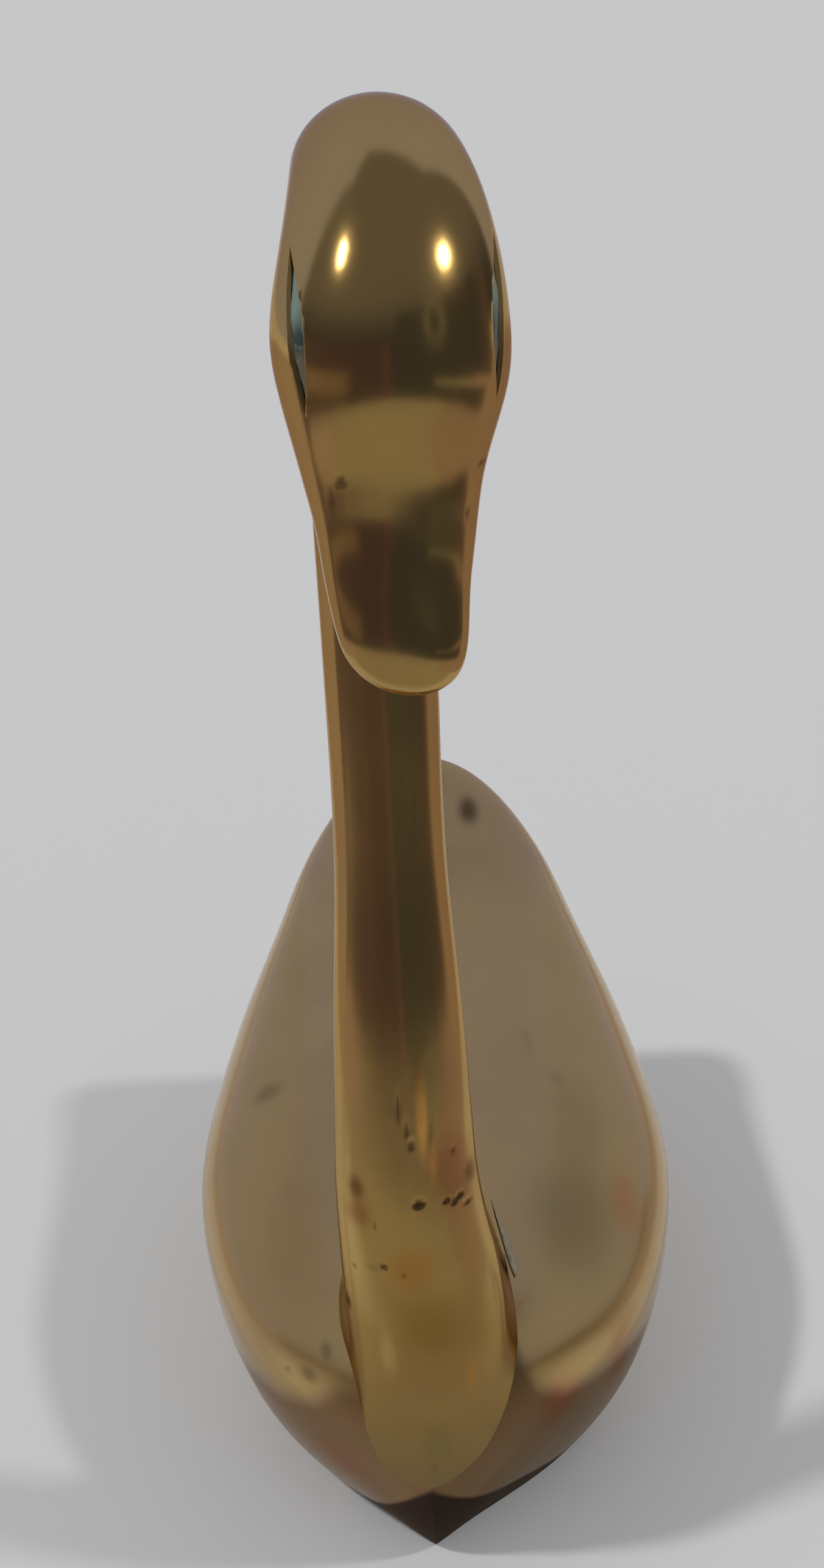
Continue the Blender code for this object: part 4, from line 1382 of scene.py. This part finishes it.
def add_glow(name, points, faces, colours, strength=1.0, seen_by=None):
    """Surface whose front only the metal, or one casting alone, mirrors, with a colour at each point."""
    mesh = bpy.data.meshes.new(name)
    mesh.from_pydata(points, [], face_to(points, faces, BASE + SWAN_MIDDLE * MM))
    layer = mesh.attributes.new("glow", "FLOAT_COLOR", "POINT")
    layer.data.foreach_set("color", [part for colour in colours for part in (*colour, 1.0)])
    material, sheet, shader = new_material(name)
    sheet.nodes.remove(shader)
    light = sheet.add("ShaderNodeEmission")
    glow = sheet.add("ShaderNodeAttribute", attribute_name="glow").outputs["Color"]
    sheet.feed(light, {"Color": glow, "Strength": strength})
    clear = sheet.add("ShaderNodeBsdfTransparent")
    choice = sheet.add("ShaderNodeMixShader")
    sheet.join(sheet.add("ShaderNodeNewGeometry").outputs["Backfacing"], choice.inputs[0])
    sheet.join(light.outputs[0], choice.inputs[1])
    sheet.join(clear.outputs[0], choice.inputs[2])
    sheet.join(choice.outputs[0], sheet.nodes["Material Output"].inputs["Surface"])
    mesh.materials.append(material)
    item = new_object(name, mesh)
    if seen_by:
        receivers = bpy.data.collections.new(f"{name}_seen_by")
        receivers.objects.link(bpy.data.objects[seen_by])
        item.light_linking.receiver_collection = receivers
    for ray in ("camera", "diffuse", "shadow", "transmission", "volume_scatter"):
        setattr(item, f"visible_{ray}", False)


def face_to(points, faces, target):
    """Faces turned so that their fronts look at the target."""
    turned = []
    for face in faces:
        a, b, c = (Vector(points[k]) for k in face[:3])
        front = (b - a).cross(c - a).dot(target - a) > 0
        turned.append(tuple(face) if front else tuple(reversed(face)))
    return turned


def build_borders():
    """Dark things at the table's edge and beyond it."""
    for name, border in (("table_border", TABLE_BORDER), ("far_border", FAR_BORDER)):
        points, colours = [], []
        for spot in border:
            low = bearing(spot.azimuth, 0.0) * spot.distance + Vector((0, BASE.y, 0))
            points += [low, low + Vector((0, 0, spot.height))]
            colours += [spot.colour, spot.colour]
        faces = [(2 * i, 2 * i + 2, 2 * i + 3, 2 * i + 1) for i in range(len(border) - 1)]
        add_glow(name, points, faces, colours)


def build_sides(studio):
    """Pale walls beside the body, and pale sheets that it mirrors from below."""
    bow = Vector((0, BASE.y, 0))
    for name, side in (("side_left", 1.0), ("side_right", -1.0)):
        wall = [Vector((SIDE_DISTANCE * side, y, z)) * MM + bow for y, z in SIDE_OUTLINE]
        add_glow(name, wall, [tuple(range(len(wall)))], [tuple(studio.side)] * len(wall))
        sheet = [Vector((x * side, y, SHEET_HEIGHT)) * MM + bow for x, y in SHEET_CORNERS]
        add_glow(f"{name}_sheet", sheet, [(0, 1, 2, 3)], [tuple(studio.side)] * 4)


def build_bill_glow():
    """Warm glow beside the bill, fading out at its edges."""
    points, colours, faces = [], [], []
    count = len(GLOW_UPRIGHT)
    for j, (azimuth, share) in enumerate(GLOW_ACROSS):
        for i, (height, part) in enumerate(GLOW_UPRIGHT):
            points.append(bearing(azimuth, 0.0) * GLOW_DISTANCE + Vector((0, BASE.y, height)))
            colours.append(tuple(GLOW_BRIGHT * share * part + GLOW_DIM * (1 - share * part)))
            if i and j:
                corner = count * j + i
                faces.append((corner - count - 1, corner - count, corner, corner - 1))
    add_glow("bill_glow", points, faces, colours)


def build_table_shades():
    """Painted shade: dimmer table far out on both sides, as the metal mirrors it."""
    for name, inner, outer, colour in TABLE_SHADES:
        corners = ((inner, TABLE_SHADE_FRONT), (outer, TABLE_SHADE_FRONT), (outer, TABLE_SHADE_REAR), (inner, TABLE_SHADE_REAR))
        points = [Vector((x, BASE.y + y, TABLE_SHADE_HEIGHT)) for x, y in corners]
        add_glow(name, points, [(0, 1, 2, 3)], [colour] * 4)


def build_glints():
    """Small bright lamps that only the neck casting mirrors, on its forehead."""
    for glint in GLINTS:
        aim = bearing(glint.azimuth, glint.elevation)
        spot = FOREHEAD + aim * GLINT_DISTANCE
        side = Vector((0, 0, 1)).cross(aim).normalized()
        rise = aim.cross(side)
        corners = []
        for u, v in ((-1, -1), (1, -1), (1, 1), (-1, 1)):
            corners.append(spot + side * u * glint.width / 2 + rise * v * glint.height / 2)
        add_glow(glint.name, corners, [(0, 1, 2, 3)], [GLINT_COLOUR] * 4, glint.strength, "neck_casting")


def build_floor(studio):
    """Pale table with painted shade towards the front, warmer and dimmer there."""
    mesh = bpy.data.meshes.new("floor")
    corners = [(x * FLOOR_HALF, y * FLOOR_HALF, 0) for x, y in ((-1, -1), (1, -1), (1, 1), (-1, 1))]
    mesh.from_pydata(corners, [], [(0, 1, 2, 3)])
    material, sheet, shader = new_material("floor")
    sheet.feed(shader, {"Roughness": 0.9, "Specular IOR Level": 0.0})
    split = sheet.add("ShaderNodeSeparateXYZ")
    sheet.join(sheet.add("ShaderNodeNewGeometry").outputs["Position"], split.inputs[0])
    # Painted shade: the table darkens towards the front
    fade = sheet.span(split.outputs["Y"], BASE.y - FLOOR_FADE[0], BASE.y - FLOOR_FADE[1])
    sheet.join(sheet.mix(fade, tuple(studio.floor), tuple(studio.floor_front_shade)), shader.inputs["Base Color"])
    mesh.materials.append(material)
    new_object("floor", mesh)


def build_camera():
    """Camera a hand's breadth in front of the swan, looking down on it."""
    camera = bpy.data.cameras.new("camera")
    camera.sensor_width = SENSOR
    camera.lens = SENSOR * FOCAL_LENGTH / FRAME_HEIGHT
    item = new_object("camera", camera)
    yaw, pitch, roll = math.radians(CAMERA_YAW), math.radians(CAMERA_PITCH), math.radians(CAMERA_ROLL)
    right = Vector((math.cos(yaw), -math.sin(yaw), 0))
    ahead = Vector((math.sin(yaw) * math.cos(pitch), math.cos(yaw) * math.cos(pitch), -math.sin(pitch)))
    up = right.cross(ahead)
    across = right * math.cos(roll) - up * math.sin(roll)
    upright = right * math.sin(roll) + up * math.cos(roll)
    turn = Matrix((across, upright, -ahead)).transposed().to_4x4()
    x = CAMERA_ASIDE * math.cos(yaw) - CAMERA_AWAY * math.sin(yaw)
    y = -CAMERA_ASIDE * math.sin(yaw) - CAMERA_AWAY * math.cos(yaw)
    item.matrix_world = Matrix.Translation(Vector((x, y, CAMERA_HEIGHT)) * MM + BASE) @ turn
    bpy.context.scene.camera = item


# Settings, operators and panel


def length_property(name, description, default, limits, precision):
    """Setting for a length."""
    return FloatProperty(
        name=name,
        description=description,
        default=default,
        min=limits[0],
        max=limits[1],
        precision=precision,
        unit="LENGTH",
    )


def colour_property(name, description, default):
    """Setting for a colour."""
    return FloatVectorProperty(
        name=name, description=description, default=default, subtype="COLOR", size=3, min=0.0, max=1.0
    )


def lamp_property(name, description, default):
    """Setting for the strength of a lamp."""
    return FloatProperty(name=name, description=description, default=default, min=0.0, max=5.0)


class SwanSizes(PropertyGroup):
    """Sizes of the joint and of the finished edges."""

    foot_rise_side: length_property(
        "Fillet at the sides", "Height of the soldered fillet beside the neck", 0.0115, (0.001, 0.02), 4
    )
    foot_rise_rear: length_property(
        "Fillet at the rear", "Height of the soldered fillet behind the neck", 0.014, (0.003, 0.02), 4
    )
    leaf_pillow: length_property(
        "Leaf swell", "How far the leaf of the foot stands proud of the breast", 0.00045, (0.0, 0.001), 5
    )
    crack_lift: length_property(
        "Crack", "Gap under the cracked edge of the fillet", 0.00016, (0.0, 0.0005), 5
    )
    lid_round: length_property(
        "Rounded lids", "Radius of the polished edge round the eye pockets", 0.0001, (0.0, 0.0003), 5
    )
    rim_round: length_property(
        "Rounded rim", "Radius of the worn edge of the ground rim", 0.00012, (0.0, 0.0005), 5
    )


class SwanColours(PropertyGroup):
    """Colours of the swan's own materials."""

    body: colour_property("Body brass", "Brass of the body casting", (0.55, 0.365, 0.125))
    neck: colour_property("Neck brass", "Brass of the neck casting", (0.57, 0.38, 0.125))
    tarnish: colour_property("Tarnish", "Brass where it has dulled", (0.42, 0.27, 0.11))
    # Painted highlight over the shell's own blue-green: the bright band across the eye
    shell_highlight: colour_property("Shell, light", "Bright band of the eye shell", (0.24, 0.34, 0.29))
    shell_dark: colour_property("Shell, dark", "Dark parts of the eye shell", (0.06, 0.085, 0.07))
    setting: colour_property("Setting", "Compound that the eyes are set in", (0.022, 0.019, 0.016))
    solder: colour_property("Solder", "Solder of the joint", (0.56, 0.47, 0.25))


class SwanStudio(PropertyGroup):
    """Colours and lamps of the stage."""

    floor: colour_property("Floor", "Table under the swan", (0.77, 0.775, 0.785))
    # Painted shade: the table's colour towards the viewer stands in for the dimmer light there
    floor_front_shade: colour_property("Floor in front", "Table towards the viewer", (0.48, 0.455, 0.4))
    sweep: colour_property("Sweep", "Surroundings behind the swan, seen in the metal", (0.37, 0.39, 0.56))
    side: colour_property("Sides", "Surroundings beside the swan, seen in the metal", (0.36, 0.38, 0.47))
    lamp_left: lamp_property("Lamp on the left", "Strength of the lamp on the swan's left", 0.62)
    lamp_right: lamp_property("Lamp on the right", "Strength of the lamp on the swan's right", 0.9)


class SWAN_OT_body(Operator):
    """Add the hollow body casting with its ground rim, hull tarnish with painted shade, and stains"""

    bl_idname = "swan.body"
    bl_label = "Body casting"

    def execute(self, context):
        build_body(context.scene.swan_sizes, context.scene.swan_colours)
        return {"FINISHED"}


class SWAN_OT_neck(Operator):
    """Add the neck and head casting with its leaf-shaped foot, fillet, eye pockets and casting pits"""

    bl_idname = "swan.neck"
    bl_label = "Neck and head casting"

    def execute(self, context):
        build_neck(context.scene.swan_sizes, context.scene.swan_colours)
        return {"FINISHED"}


class SWAN_OT_eyes(Operator):
    """Add both eyes: a bedding of dark compound and a domed shell inlay each"""

    bl_idname = "swan.eyes"
    bl_label = "Eyes"

    def execute(self, context):
        build_eyes(context.scene.swan_colours)
        return {"FINISHED"}


class SWAN_OT_solder(Operator):
    """Add the solder round the spigot and the streak at the end of the crack"""

    bl_idname = "swan.solder"
    bl_label = "Solder"

    def execute(self, context):
        build_solder(context.scene.swan_colours)
        return {"FINISHED"}


class SWAN_OT_stage(Operator):
    """Add the pale floor, the lamps, the surroundings that the metal mirrors, and the camera"""

    bl_idname = "swan.stage"
    bl_label = "Stage"

    def execute(self, context):
        studio = context.scene.swan_studio
        build_floor(studio)
        build_world(studio)
        add_sun("lamp_left", *LAMP_LEFT_AT, studio.lamp_left)
        add_sun("lamp_right", *LAMP_RIGHT_AT, studio.lamp_right)
        build_borders()
        build_sides(studio)
        build_bill_glow()
        build_table_shades()
        build_glints()
        build_camera()
        context.scene.view_settings.view_transform = "Standard"
        return {"FINISHED"}


class VIEW3D_PT_swan(Panel):
    """Buttons and settings of the swan"""

    bl_label = "Brass swan"
    bl_idname = "VIEW3D_PT_swan"
    bl_space_type = "VIEW_3D"
    bl_region_type = "UI"
    bl_category = "Swan"

    def draw(self, context):
        column = self.layout.column()
        for operator in PIECES:
            column.operator(operator.bl_idname)
        for settings in (context.scene.swan_sizes, context.scene.swan_colours, context.scene.swan_studio):
            box = self.layout.box()
            for name in settings.bl_rna.properties.keys():
                if name not in ("rna_type", "name"):
                    box.prop(settings, name)


PIECES = (SWAN_OT_body, SWAN_OT_neck, SWAN_OT_eyes, SWAN_OT_solder, SWAN_OT_stage)
SETTINGS = (("swan_sizes", SwanSizes), ("swan_colours", SwanColours), ("swan_studio", SwanStudio))


def register():
    """Adds the settings, the operators and the panel."""
    for name, group in SETTINGS:
        bpy.utils.register_class(group)
        setattr(bpy.types.Scene, name, PointerProperty(type=group))
    for operator in PIECES:
        bpy.utils.register_class(operator)
    bpy.utils.register_class(VIEW3D_PT_swan)


def unregister():
    """Takes them away again."""
    bpy.utils.unregister_class(VIEW3D_PT_swan)
    for operator in reversed(PIECES):
        bpy.utils.unregister_class(operator)
    for name, group in reversed(SETTINGS):
        delattr(bpy.types.Scene, name)
        bpy.utils.unregister_class(group)


def main():
    """Builds the swan on its stage."""
    register()
    bpy.ops.swan.body()
    bpy.ops.swan.neck()
    bpy.ops.swan.eyes()
    bpy.ops.swan.solder()
    bpy.ops.swan.stage()


if __name__ == "__main__":
    main()
